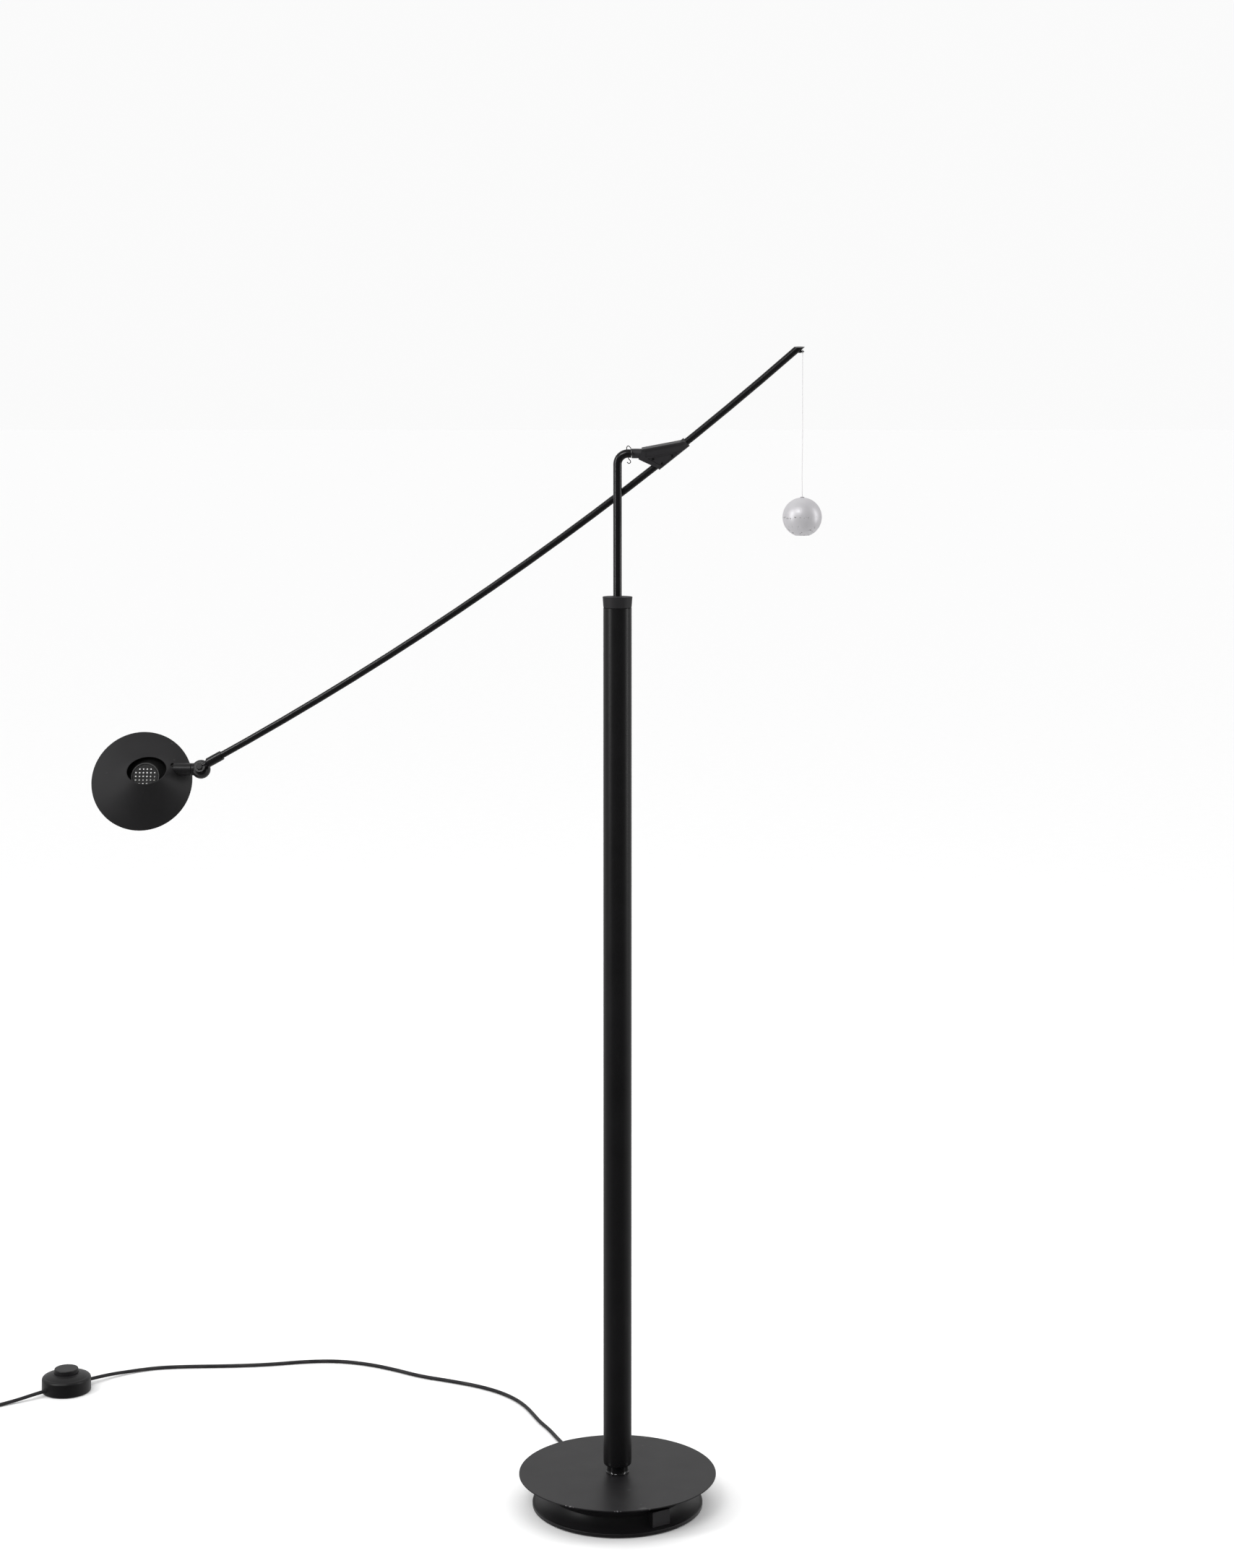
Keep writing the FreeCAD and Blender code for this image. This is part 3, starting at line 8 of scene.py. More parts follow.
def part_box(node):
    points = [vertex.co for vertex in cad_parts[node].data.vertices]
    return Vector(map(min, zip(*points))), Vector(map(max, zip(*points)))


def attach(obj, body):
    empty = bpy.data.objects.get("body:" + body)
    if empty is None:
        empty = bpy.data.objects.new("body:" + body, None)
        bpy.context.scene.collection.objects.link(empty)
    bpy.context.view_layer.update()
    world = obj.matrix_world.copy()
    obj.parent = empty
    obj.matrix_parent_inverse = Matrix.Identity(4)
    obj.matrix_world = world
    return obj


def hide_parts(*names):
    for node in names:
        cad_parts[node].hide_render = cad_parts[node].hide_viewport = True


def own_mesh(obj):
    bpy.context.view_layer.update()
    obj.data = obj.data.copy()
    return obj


# Pharmacy floor lamp: spool base, column and telescoping stem, a long curved arm that a silver
# ball balances, a small vented shade, and a lead with a foot switch, a coil and a plug.
# Metres, +Z up, +X towards the ball, +Y away from the side that is seen.

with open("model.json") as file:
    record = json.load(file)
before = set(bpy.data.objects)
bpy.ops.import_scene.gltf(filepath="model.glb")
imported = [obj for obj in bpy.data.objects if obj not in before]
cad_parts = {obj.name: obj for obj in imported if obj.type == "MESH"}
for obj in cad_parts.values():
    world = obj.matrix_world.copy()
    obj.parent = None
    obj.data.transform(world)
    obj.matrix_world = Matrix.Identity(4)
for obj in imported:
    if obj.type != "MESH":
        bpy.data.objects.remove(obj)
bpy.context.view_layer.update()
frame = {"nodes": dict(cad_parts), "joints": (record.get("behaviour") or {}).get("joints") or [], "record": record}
nodes = frame["nodes"]
joints = {joint["name"]: joint for joint in frame["joints"]}

# ---------------------------------------------------------------- camera

CAMERA_SPOT = (-0.0007, -3.8, 1.5483)
CAMERA_PITCH = math.radians(87.5)
CAMERA_LENS = 62.26
CAMERA_SENSOR = 36.0
CAMERA_SHIFT = -0.1592


def add_camera():
    data = bpy.data.cameras.new("camera")
    data.sensor_fit = "VERTICAL"
    data.sensor_height = CAMERA_SENSOR
    data.lens = CAMERA_LENS
    data.shift_y = CAMERA_SHIFT
    camera = bpy.data.objects.new("camera", data)
    camera.location = CAMERA_SPOT
    camera.rotation_euler = (CAMERA_PITCH, 0, 0)
    bpy.context.scene.collection.objects.link(camera)
    bpy.context.scene.camera = camera


add_camera()

# ---------------------------------------------------------------- cords

LEAD_RADIUS = 0.00275
LEAD_REST = LEAD_RADIUS
LEAD_STEP = 0.0059
GLAND_TIP = (-0.046588, 0.121365, 0.0125)
SWITCH_ENTRY = (-0.846646, 0.476431, 0.008)
SWITCH_EXIT = (-0.905354, 0.423569, 0.008)

COIL_CENTRE = Vector((-1.024, 0.362, 0))
COIL_INSIDE = 0.0254
COIL_TURN_POINTS = 16
COIL_LAYER_TURNS = 2.0
COIL_RISE_TURNS = 1 / 3
COIL_LAST_TURN = 1 / 9

PLUG_AZIMUTH = math.radians(200)
PLUG_LEAVES = 0.03785
PLUG_LIFT = 0.007
RELIEF_STARTS = 0.059

THREAD_RADIUS = 0.0004
THREAD_RING_GAP = 0.0001
THREAD_IN_BALL = 0.0060

BASE_TO_SWITCH = [
    GLAND_TIP,
    (-0.0559, 0.1457, 0.0120), (-0.0652, 0.1699, 0.0096), (-0.0742, 0.1940, 0.0058),
    (-0.0835, 0.2200, 0.0032), (-0.0935, 0.2470, LEAD_REST), (-0.1045, 0.2770, LEAD_REST),
    (-0.1195, 0.3080, LEAD_REST), (-0.1310, 0.3410, LEAD_REST), (-0.1440, 0.3750, LEAD_REST),
    (-0.1630, 0.4080, LEAD_REST), (-0.1900, 0.4380, LEAD_REST), (-0.2260, 0.4640, LEAD_REST),
    (-0.2710, 0.4860, LEAD_REST), (-0.3180, 0.5060, LEAD_REST), (-0.3620, 0.5370, LEAD_REST),
    (-0.4070, 0.5620, LEAD_REST), (-0.4580, 0.5770, LEAD_REST), (-0.5110, 0.5740, LEAD_REST),
    (-0.5660, 0.5600, LEAD_REST), (-0.6300, 0.5530, LEAD_REST), (-0.6950, 0.5510, LEAD_REST),
    (-0.7420, 0.5460, LEAD_REST), (-0.7700, 0.5360, 0.0029), (-0.7930, 0.5230, 0.0038),
    (-0.8120, 0.5090, 0.0056), (-0.8305, 0.4910, 0.0074),
    SWITCH_ENTRY]

SWITCH_TO_COIL = [
    SWITCH_EXIT,
    (-0.9205, 0.4100, 0.0074), (-0.9385, 0.3976, 0.0050), (-0.9550, 0.3878, 0.0031),
    (-0.9698, 0.3766, LEAD_REST), (-0.9820, 0.3622, LEAD_REST)]

# distance along the straight line on which the lead leaves the coil, and height
COIL_TO_PLUG = [(0.010, 0.0080), (0.020, 0.0054), (0.031, 0.0036), (0.041, 0.0048),
                (0.050, 0.0068), (RELIEF_STARTS, PLUG_LIFT)]


def coil_turns():
    """Two turns inwards on the floor, a short rise, and a little over two outwards on top of them."""
    stretch = 1 / math.cos(math.pi / COIL_TURN_POINTS)
    top_turns = COIL_LAYER_TURNS + COIL_LAST_TURN
    climb_ends = COIL_LAYER_TURNS + COIL_RISE_TURNS
    points = []
    for step in range(1, round((climb_ends + top_turns) * COIL_TURN_POINTS)):
        turns = step / COIL_TURN_POINTS
        climb = min(max((turns - COIL_LAYER_TURNS) / COIL_RISE_TURNS, 0), 1)
        inward = max(COIL_LAYER_TURNS - turns, 0)
        outward = max(turns - climb_ends, 0)
        radius = (COIL_INSIDE + LEAD_STEP * (inward + outward)) * stretch
        angle = -2 * math.pi * turns
        spot = Vector((radius * math.cos(angle), radius * math.sin(angle), 0))
        points.append(COIL_CENTRE + spot + Vector((0, 0, LEAD_REST + LEAD_STEP * climb)))
    return points


def plug_line():
    """Where the lead leaves the coil, and its heading."""
    radial = Vector((math.cos(PLUG_AZIMUTH), math.sin(PLUG_AZIMUTH), 0))
    heading = Vector((math.sin(PLUG_AZIMUTH), -math.cos(PLUG_AZIMUTH), 0))
    return COIL_CENTRE + radial * PLUG_LEAVES, heading


def round_cord(name, points, radius):
    """A round cord on one smooth spline. Its thickness is in its points, so that its box is true."""
    curve = bpy.data.curves.new(name, "CURVE")
    curve.dimensions = "3D"
    spline = curve.splines.new("NURBS")
    spline.points.add(len(points) - 1)
    for control, place in zip(spline.points, points):
        control.co = (*place, 1)
        control.radius = radius
    spline.order_u = 3
    spline.use_endpoint_u = True
    curve.bevel_depth = 1.0
    curve.bevel_resolution = 4
    curve.resolution_u = 8
    curve.use_fill_caps = True
    cord = bpy.data.objects.new(name, curve)
    bpy.context.scene.collection.objects.link(cord)
    return cord


lead_long = round_cord("lead_long", BASE_TO_SWITCH, LEAD_RADIUS)
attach(lead_long, "base")
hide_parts("lead_base_to_switch")

leave, heading = plug_line()
plug_stretch = [leave + heading * along + Vector((0, 0, lift)) for along, lift in COIL_TO_PLUG]
lead_short = round_cord("lead_short", SWITCH_TO_COIL + coil_turns() + plug_stretch, LEAD_RADIUS)
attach(lead_short, "base")
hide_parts("lead_switch_to_coil", "lead_coil", "lead_plug_end")

ring_low, ring_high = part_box("hanger_ring")
weight_low, weight_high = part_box("weight_plug")
thread_x = (weight_low[0] + weight_high[0]) / 2
thread_y = (weight_low[1] + weight_high[1]) / 2
thread_top = ring_low[2] - THREAD_RING_GAP
thread_foot = weight_high[2] - THREAD_IN_BALL
thread = round_cord("thread", [
    (thread_x, thread_y, thread_top), (thread_x, thread_y, thread_top - 0.020),
    (thread_x, thread_y, thread_top - 0.060), (thread_x + 0.0004, thread_y, thread_top - 0.120),
    (thread_x - 0.0005, thread_y, thread_foot + 0.040), (thread_x, thread_y, thread_foot + 0.012),
    (thread_x, thread_y, thread_foot)], THREAD_RADIUS)
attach(thread, "weight")
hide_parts("weight_thread")

# ---------------------------------------------------------------- modelling helpers


def start_clean():
    """Object mode with nothing selected, so that an operator meets only the new piece."""
    if bpy.context.object and bpy.context.object.mode != "OBJECT":
        bpy.ops.object.mode_set(mode="OBJECT")
    bpy.ops.object.select_all(action="DESELECT")


def pick(piece):
    """Selects one piece alone and makes it the active one."""
    start_clean()
    bpy.context.view_layer.objects.active = piece
    piece.select_set(True)


def select_faces(piece, wanted):
    """Leaves edit mode open with the faces that wanted accepts selected."""
    pick(piece)
    bpy.ops.object.mode_set(mode="EDIT")
    bpy.ops.mesh.select_all(action="DESELECT")
    bpy.ops.object.mode_set(mode="OBJECT")
    for face in piece.data.polygons:
        face.select = wanted(face)
    bpy.ops.object.mode_set(mode="EDIT")
    bpy.ops.mesh.select_mode(type="FACE")


def close_edit():
    """Turns every face outwards and leaves edit mode."""
    bpy.ops.mesh.select_all(action="SELECT")
    bpy.ops.mesh.normals_make_consistent(inside=False)
    bpy.ops.object.mode_set(mode="OBJECT")


def applied(piece, kind, **settings):
    """Adds a modifier and applies it."""
    pick(piece)
    modifier = piece.modifiers.new(kind.lower(), kind)
    for key, value in settings.items():
        setattr(modifier, key, value)
    bpy.ops.object.modifier_apply(modifier=modifier.name)


def smooth(piece, degrees=35):
    """Smooth shading, with the edges that turn by more than the angle kept crisp."""
    pick(piece)
    bpy.ops.object.shade_smooth_by_angle(angle=math.radians(degrees))


def set_down(piece, place):
    """Puts a finished piece in place and leaves its object at the origin."""
    piece.data.transform(place @ piece.matrix_world)
    piece.matrix_world = Matrix.Identity(4)


def joined(name, parts):
    """Makes one piece of several."""
    start_clean()
    for part in parts:
        part.select_set(True)
    bpy.context.view_layer.objects.active = parts[0]
    bpy.ops.object.join()
    parts[0].name = name
    return parts[0]


def stacked(name, rings, sides=32):
    """A round piece: a disc pulled up ring by ring, each ring a radius and a height."""
    start_clean()
    radius, height = rings[0]
    bpy.ops.mesh.primitive_circle_add(vertices=sides, radius=radius, fill_type="NGON",
                                      location=(0, 0, height))
    piece = bpy.context.object
    piece.name = name
    bpy.ops.object.transform_apply()
    bpy.ops.object.mode_set(mode="EDIT")
    bpy.ops.mesh.select_all(action="SELECT")
    for wider, higher in rings[1:]:
        bpy.ops.mesh.extrude_region_move(
            TRANSFORM_OT_translate={"value": (0, 0, higher - height)})
        ratio = wider / radius
        bpy.ops.transform.resize(value=(ratio, ratio, 1), center_override=(0, 0, higher))
        radius, height = wider, higher
    close_edit()
    return piece


def along(direction, spot):
    """A place whose Z runs along a direction, and whose Y is as upright as it can be."""
    return Matrix.Translation(spot) @ Vector(direction).to_track_quat("Z", "Y").to_matrix().to_4x4()


def block(name, size, centre):
    """A box to start from."""
    start_clean()
    bpy.ops.mesh.primitive_cube_add(size=1, location=centre)
    piece = bpy.context.object
    piece.name = name
    piece.scale = size
    bpy.ops.object.transform_apply()
    return piece


# ---------------------------------------------------------------- sleeves and plug

SLEEVE_EDGE = 0.0004
SLEEVE_PLAIN_END = 0.0015
GROOVE_DEPTH = 0.0006
# shares of the pitch from one rib to the next: where its groove's floor starts and ends, and its wall
GROOVE_FLOOR_STARTS = 0.12
GROOVE_FLOOR_ENDS = 0.42
GROOVE_WALL_ENDS = 0.54

LEAD_SLEEVE_LENGTH = 0.036
LEAD_SLEEVE_TAIL = [(0.004, -0.020), (0.004, 0.0002)]

PLUG_SLEEVE_LENGTH = 0.026
PLUG_SLEEVE_MOUTH = 0.0033
PLUG_GRIP_LENGTH = 0.034
PLUG_WAIST_WIDTH = 0.018
PLUG_WAIST_HEIGHT = 0.0132
PLUG_FACE_WIDTH = 0.035
PLUG_FACE_HEIGHT = 0.0138
PLUG_EDGE = 0.0024
RIDGES = 5
RIDGE_SIZE = (0.0016, 0.0092, 0.0016)
RIDGE_EDGE = 0.0005
RIDGE_SUNK = 0.0006
RIDGE_FIRST = 0.010
RIDGE_STEP = 0.0042

TIE_SLACK = 0.0002
TIE_HEADROOM = 0.0003
TIE_STANDS_OFF = 0.001
TIE_WIDTH = 0.0050
TIE_EDGE = 0.0024
TIE_WALL = 0.0006
TIE_END = [(0.0011, 0), (0.0010, 0.006), (0.0008, 0.011), (0.0004, 0.0122)]
TIE_END_SPREAD = 0.0010
TIE_END_HEIGHT = 0.6
TIE_END_LEANS = ((-1, 0.5), (1, -0.35))
TIE_END_DROOP = 0.3


def ribbed(first, last, length, ribs, collar):
    """Rings of a sleeve that tapers from first to last radius, with a collar and grooves round it."""
    collar_radius, collar_height = collar
    rings = [(collar_radius, 0), (collar_radius, collar_height), (first, collar_height + SLEEVE_EDGE)]
    pitch = (length - collar_height - 2 * SLEEVE_PLAIN_END) / ribs
    for rib in range(ribs):
        low = collar_height + SLEEVE_PLAIN_END + rib * pitch
        radius = first + (last - first) * (rib + 0.5) / ribs
        groove = radius - GROOVE_DEPTH
        rings += [(radius, low), (groove, low + pitch * GROOVE_FLOOR_STARTS),
                  (groove, low + pitch * GROOVE_FLOOR_ENDS), (radius, low + pitch * GROOVE_WALL_ENDS)]
    return rings + [(last, length - SLEEVE_EDGE), (last - SLEEVE_EDGE, length)]


def lead_sleeve():
    """Ribbed relief where the lead leaves the waist of the base."""
    out = Vector((GLAND_TIP[0], GLAND_TIP[1], 0)).normalized()
    rings = ribbed(first=0.0052, last=0.0035, length=LEAD_SLEEVE_LENGTH, ribs=6, collar=(0.0056, 0.008))
    piece = stacked("lead_sleeve", rings)
    tail = stacked("lead_sleeve_tail", LEAD_SLEEVE_TAIL)
    piece = joined("lead_sleeve", [piece, tail])
    set_down(piece, along(out, Vector(GLAND_TIP) - out * LEAD_SLEEVE_LENGTH))
    smooth(piece)
    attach(piece, "base")
    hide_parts("lead_gland")
    return piece


def plug_sleeve_rings():
    """Rings of the plug's sleeve, which has a narrow mouth where the lead goes in."""
    rings = ribbed(first=0.0036, last=0.0050, length=PLUG_SLEEVE_LENGTH, ribs=5, collar=(0.0034, 0.001))
    return [(PLUG_SLEEVE_MOUTH, 0)] + rings[1:]


def plug():
    """Two-pin plug with a waisted grip, side ridges and a ribbed sleeve. It lies with X level."""
    place = along(heading, leave + heading * RELIEF_STARTS + Vector((0, 0, PLUG_LIFT)))
    sleeve = stacked("plug_sleeve", plug_sleeve_rings())
    set_down(sleeve, place)
    smooth(sleeve)
    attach(sleeve, "base")
    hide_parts("plug_relief")

    face_at = PLUG_SLEEVE_LENGTH + PLUG_GRIP_LENGTH
    body = block("plug_body_piece", (PLUG_WAIST_WIDTH, PLUG_WAIST_HEIGHT, PLUG_GRIP_LENGTH),
                 (0, 0, PLUG_SLEEVE_LENGTH + PLUG_GRIP_LENGTH / 2))
    select_faces(body, lambda face: face.normal.z > 0.9)
    spread = (PLUG_FACE_WIDTH / PLUG_WAIST_WIDTH, PLUG_FACE_HEIGHT / PLUG_WAIST_HEIGHT, 1)
    bpy.ops.transform.resize(value=spread, center_override=(0, 0, face_at))
    close_edit()
    applied(body, "BEVEL", width=PLUG_EDGE, segments=4, limit_method="ANGLE")
    flare = (PLUG_FACE_WIDTH - PLUG_WAIST_WIDTH) / 2
    ridges = [body]
    for side in (-1, 1):
        for step in range(RIDGES):
            up_grip = RIDGE_FIRST + RIDGE_STEP * step
            reach = PLUG_WAIST_WIDTH / 2 - RIDGE_SUNK + flare * up_grip / PLUG_GRIP_LENGTH
            ridge = block("plug_ridge", RIDGE_SIZE, (side * reach, 0, PLUG_SLEEVE_LENGTH + up_grip))
            applied(ridge, "BEVEL", width=RIDGE_EDGE, segments=2)
            ridges.append(ridge)
    body = joined("plug_grip", ridges)
    set_down(body, place)
    smooth(body)
    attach(body, "base")
    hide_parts("plug_body")
    return sleeve, body


def coil_tie():
    """Twisted wire tie round the coil, with its two ends standing off."""
    middle = COIL_INSIDE + LEAD_STEP * COIL_LAYER_TURNS / 2
    half = middle - COIL_INSIDE + LEAD_RADIUS + TIE_SLACK
    high = LEAD_REST * 2 + LEAD_STEP + TIE_HEADROOM
    tie = block("coil_tie", (half * 2 + TIE_STANDS_OFF, TIE_WIDTH, high), (0, 0, high / 2))
    applied(tie, "BEVEL", width=TIE_EDGE, segments=4, limit_method="ANGLE")
    select_faces(tie, lambda face: abs(face.normal.y) > 0.9)
    bpy.ops.mesh.inset(thickness=TIE_WALL)
    bpy.ops.mesh.delete(type="FACE")
    close_edit()
    parts = [tie]
    for side, lean in TIE_END_LEANS:
        end = stacked("tie_end", TIE_END, sides=10)
        droop = Matrix.Rotation(math.radians(90) + lean * TIE_END_DROOP, 4, "Y")
        spot = (half + TIE_SLACK, side * TIE_END_SPREAD, high * TIE_END_HEIGHT)
        set_down(end, Matrix.Translation(spot) @ droop @ Matrix.Rotation(lean, 4, "X"))
        parts.append(end)
    tie = joined("coil_tie", parts)
    turn = Matrix.Rotation(math.radians(90), 4, "Z")
    set_down(tie, Matrix.Translation(COIL_CENTRE) @ turn @ Matrix.Translation((middle, 0, 0)))
    smooth(tie)
    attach(tie, "base")
    return tie


sleeve_piece = lead_sleeve()
plug_sleeve, plug_grip = plug()
tie_piece = coil_tie()

# ---------------------------------------------------------------- gauze, filament and bellows

PIN_AXIS = Vector(joints["head_tilt"]["axis"])
HEAD_LEAN = math.atan2(-PIN_AXIS.z, PIN_AXIS.y)
STUB_SPOT = Vector(joints["shade_turn"]["pos_m"])
RIM_FROM_STUB = Vector((-0.0883, 0.0208, -0.0126))

# the head leans as its hinge pin does, and X runs along the shade's stub
HEAD = Matrix.Translation(STUB_SPOT) @ Matrix.Rotation(-HEAD_LEAN, 4, "X")
# the middle of the shade's rim, with Z towards the vent
SHADE = HEAD @ Matrix.Translation(RIM_FROM_STUB) @ Matrix.Rotation(math.radians(90), 4, "X")

GAUZE_MESHES = 34
GAUZE_WIRE = 0.00024
GAUZE_HEM = 0.0004
GAUZE_SPOT = Vector((0.008, 0.002, 0.02155))
GAUZE_TURN = math.radians(18)

FILAMENT_TURNS = 9
FILAMENT_TURN_POINTS = 12
FILAMENT_LENGTH = 0.009
FILAMENT_STARTS = 0.007
FILAMENT_RADIUS = 0.0011
FILAMENT_WIRE = 0.00018
POST_STARTS = 0.0162
POST_LENGTH = 0.0052
POST_RADIUS = 0.0003
POST_FROM_MIDDLE = 0.0014

BELLOWS_FOLDS = 6
BELLOWS_FOLD_DEPTH = 0.0011
BELLOWS_EDGE = 0.0002
# shares of a fold, below the first fold and above the last
BELLOWS_PLAIN_FOOT = 0.35
BELLOWS_PLAIN_TOP = 0.3
# shares of the whole height
BELLOWS_GROOVE_STARTS = 0.065
BELLOWS_GROOVE_ENDS = 0.075
BELLOWS_COLLAR = 0.97


def gauze():
    """Woven wire across the back of the reflector."""
    low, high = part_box("vent_gauze")
    radius = (high[0] - low[0]) / 2
    hem_radius = radius - GAUZE_HEM
    start_clean()
    bpy.ops.mesh.primitive_grid_add(x_subdivisions=GAUZE_MESHES, y_subdivisions=GAUZE_MESHES, size=2 * radius)
    piece = bpy.context.object
    piece.name = "woven_gauze"
    select_faces(piece, lambda face: face.center.length > hem_radius)
    bpy.ops.mesh.delete(type="FACE")
    bpy.ops.object.mode_set(mode="OBJECT")
    applied(piece, "WIREFRAME", thickness=GAUZE_WIRE, use_even_offset=False)
    start_clean()
    bpy.ops.mesh.primitive_torus_add(major_radius=hem_radius, minor_radius=GAUZE_HEM,
                                     major_segments=64, minor_segments=8)
    hem = bpy.context.object
    hem.scale = (1, 1, 0.6)
    bpy.ops.object.transform_apply()
    piece = joined("woven_gauze", [piece, hem])
    set_down(piece, SHADE @ Matrix.Translation(GAUZE_SPOT) @ Matrix.Rotation(GAUZE_TURN, 4, "Z"))
    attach(piece, "shade")
    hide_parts("vent_gauze")
    return piece


def filament():
    """Tight wire spiral between two posts, inside the bulb."""
    low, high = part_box("bulb")
    _, middle_y, middle_z = [(a + b) / 2 for a, b in zip(low, high)]
    steps = FILAMENT_TURNS * FILAMENT_TURN_POINTS
    points = []
    for step in range(steps + 1):
        angle = 2 * math.pi * step / FILAMENT_TURN_POINTS
        points.append((low[0] + FILAMENT_STARTS + FILAMENT_LENGTH * step / steps,
                       middle_y + FILAMENT_RADIUS * math.cos(angle),
                       middle_z + FILAMENT_RADIUS * math.sin(angle)))
    curve = round_cord("filament", points, FILAMENT_WIRE)
    curve.data.bevel_resolution = 1
    curve.data.resolution_u = 2
    pick(curve)
    bpy.ops.object.convert(target="MESH")
    parts = [bpy.context.object]
    for side in (-1, 1):
        post = stacked("filament_post", [(POST_RADIUS, 0), (POST_RADIUS, POST_LENGTH)], sides=8)
        spot = Vector((low[0] + POST_STARTS, middle_y + side * POST_FROM_MIDDLE, middle_z))
        set_down(post, along((1, 0, 0), spot))
        parts.append(post)
    wire = joined("filament_wire", parts)
    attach(wire, "shade")
    return wire


def button_bellows():
    """Moulded rubber bellows under the foot switch's button, which it pushes back up."""
    low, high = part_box("switch_spring")
    radius = (high[0] - low[0]) / 2
    groove = radius - BELLOWS_FOLD_DEPTH
    tall = high[2] - low[2]
    rings = [(radius, 0)]
    for fold in range(BELLOWS_FOLDS):
        foot = tall * (fold + BELLOWS_PLAIN_FOOT) / (BELLOWS_FOLDS + BELLOWS_PLAIN_TOP)
        rings += [(radius, foot), (groove, foot + tall * BELLOWS_GROOVE_STARTS),
                  (groove, foot + tall * BELLOWS_GROOVE_ENDS)]
    rings += [(radius, tall * BELLOWS_COLLAR), (radius, tall)]
    piece = stacked("button_bellows", rings)
    spot = Vector(((low[0] + high[0]) / 2, (low[1] + high[1]) / 2, low[2]))
    set_down(piece, Matrix.Translation(spot))
    applied(piece, "BEVEL", width=BELLOWS_EDGE, segments=2, limit_method="ANGLE")
    smooth(piece, degrees=50)
    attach(piece, "base")
    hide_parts("switch_spring")
    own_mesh(piece)
    return piece


gauze_piece = gauze()
bellows_piece = button_bellows()
filament_piece = filament()

# ---------------------------------------------------------------- label

LABEL_WIDTH = 0.0285
LABEL_THICKNESS = 0.0008
LABEL_BORDER = 0.0015
LABEL_BORDER_SLOPE = 0.0005
LABEL_SUNK = 0.0003
LABEL_EDGE = 0.00022
RIVET = [(0.0009, 0.0002), (0.0009, 0.0009), (0.0005, 0.0012)]
RIVET_INSET = 0.0022


def label():
    """Blank plate with a pressed border and four rivets, upright on the waist's flat pad."""
    low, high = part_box("base_label_plate")
    middle = Vector((low[0] + high[0], low[1] + high[1], 0)) / 2
    out = middle.normalized()
    upright = Vector((0, 0, 1))
    tall = high[2] - low[2]
    plate = block("label_plate", (LABEL_WIDTH, tall, LABEL_THICKNESS), (0, tall / 2, LABEL_THICKNESS / 2))
    select_faces(plate, lambda face: face.normal.z > 0.9)
    bpy.ops.mesh.inset(thickness=LABEL_BORDER)
    bpy.ops.transform.translate(value=(0, 0, -LABEL_SUNK))
    bpy.ops.mesh.inset(thickness=LABEL_BORDER_SLOPE)
    close_edit()
    applied(plate, "BEVEL", width=LABEL_EDGE, segments=2, limit_method="ANGLE")
    parts = [plate]
    for side in (-1, 1):
        for height in (RIVET_INSET, tall - RIVET_INSET):
            rivet = stacked("label_rivet", RIVET, sides=12)
            set_down(rivet, Matrix.Translation((side * (LABEL_WIDTH / 2 - RIVET_INSET), height, 0)))
            parts.append(rivet)
    plate = joined("label_plate", parts)
    turn = Matrix((upright.cross(out), upright, out)).transposed().to_4x4()
    back = out * (middle.length - LABEL_THICKNESS / 2)
    set_down(plate, Matrix.Translation(back + upright * low[2]) @ turn)
    smooth(plate, degrees=30)
    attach(plate, "base")
    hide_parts("base_label_plate")
    return plate


label_piece = label()

# ---------------------------------------------------------------- shared effects


def group_node(group, kind, **settings):
    node = group.nodes.new(kind)
    for key, value in settings.items():
        setattr(node, key, value)
    return node


def new_group(name, inputs, outputs):
    group = bpy.data.node_groups.new(name, "ShaderNodeTree")
    for label_text, kind, value in inputs:
        socket = group.interface.new_socket(label_text, in_out="INPUT", socket_type=kind)
        if value is not None:
            socket.default_value = value
    for label_text, kind in outputs:
        group.interface.new_socket(label_text, in_out="OUTPUT", socket_type=kind)
    return group, group.nodes.new("NodeGroupInput"), group.nodes.new("NodeGroupOutput")


def grain_group():
    """Fine orange-peel height and patches of rougher and smoother surface."""
    group, source, sink = new_group(
        "grain",
        [("Vector", "NodeSocketVector", None), ("Scale", "NodeSocketFloat", 900.0),
         ("Roughness", "NodeSocketFloat", 0.4), ("Spread", "NodeSocketFloat", 0.1)],
        [("Height", "NodeSocketFloat"), ("Roughness", "NodeSocketFloat"), ("Patch", "NodeSocketFloat")])
    fine = group_node(group, "ShaderNodeTexNoise")
    fine.inputs["Detail"].default_value = 3.0
    broad = group_node(group, "ShaderNodeTexNoise")
    broad.inputs["Scale"].default_value = 22.0
    broad.inputs["Detail"].default_value = 4.0
    centre = group_node(group, "ShaderNodeMath", operation="SUBTRACT")
    centre.inputs[1].default_value = 0.5
    spread = group_node(group, "ShaderNodeMath", operation="MULTIPLY")
    total = group_node(group, "ShaderNodeMath", operation="ADD")
    link = group.links.new
    link(source.outputs["Vector"], fine.inputs["Vector"])
    link(source.outputs["Scale"], fine.inputs["Scale"])
    link(source.outputs["Vector"], broad.inputs["Vector"])
    link(broad.outputs["Fac"], centre.inputs[0])
    link(centre.outputs[0], spread.inputs[0])
    link(source.outputs["Spread"], spread.inputs[1])
    link(spread.outputs[0], total.inputs[0])
    link(source.outputs["Roughness"], total.inputs[1])
    link(fine.outputs["Fac"], sink.inputs["Height"])
    link(total.outputs[0], sink.inputs["Roughness"])
    link(broad.outputs["Fac"], sink.inputs["Patch"])
    return group


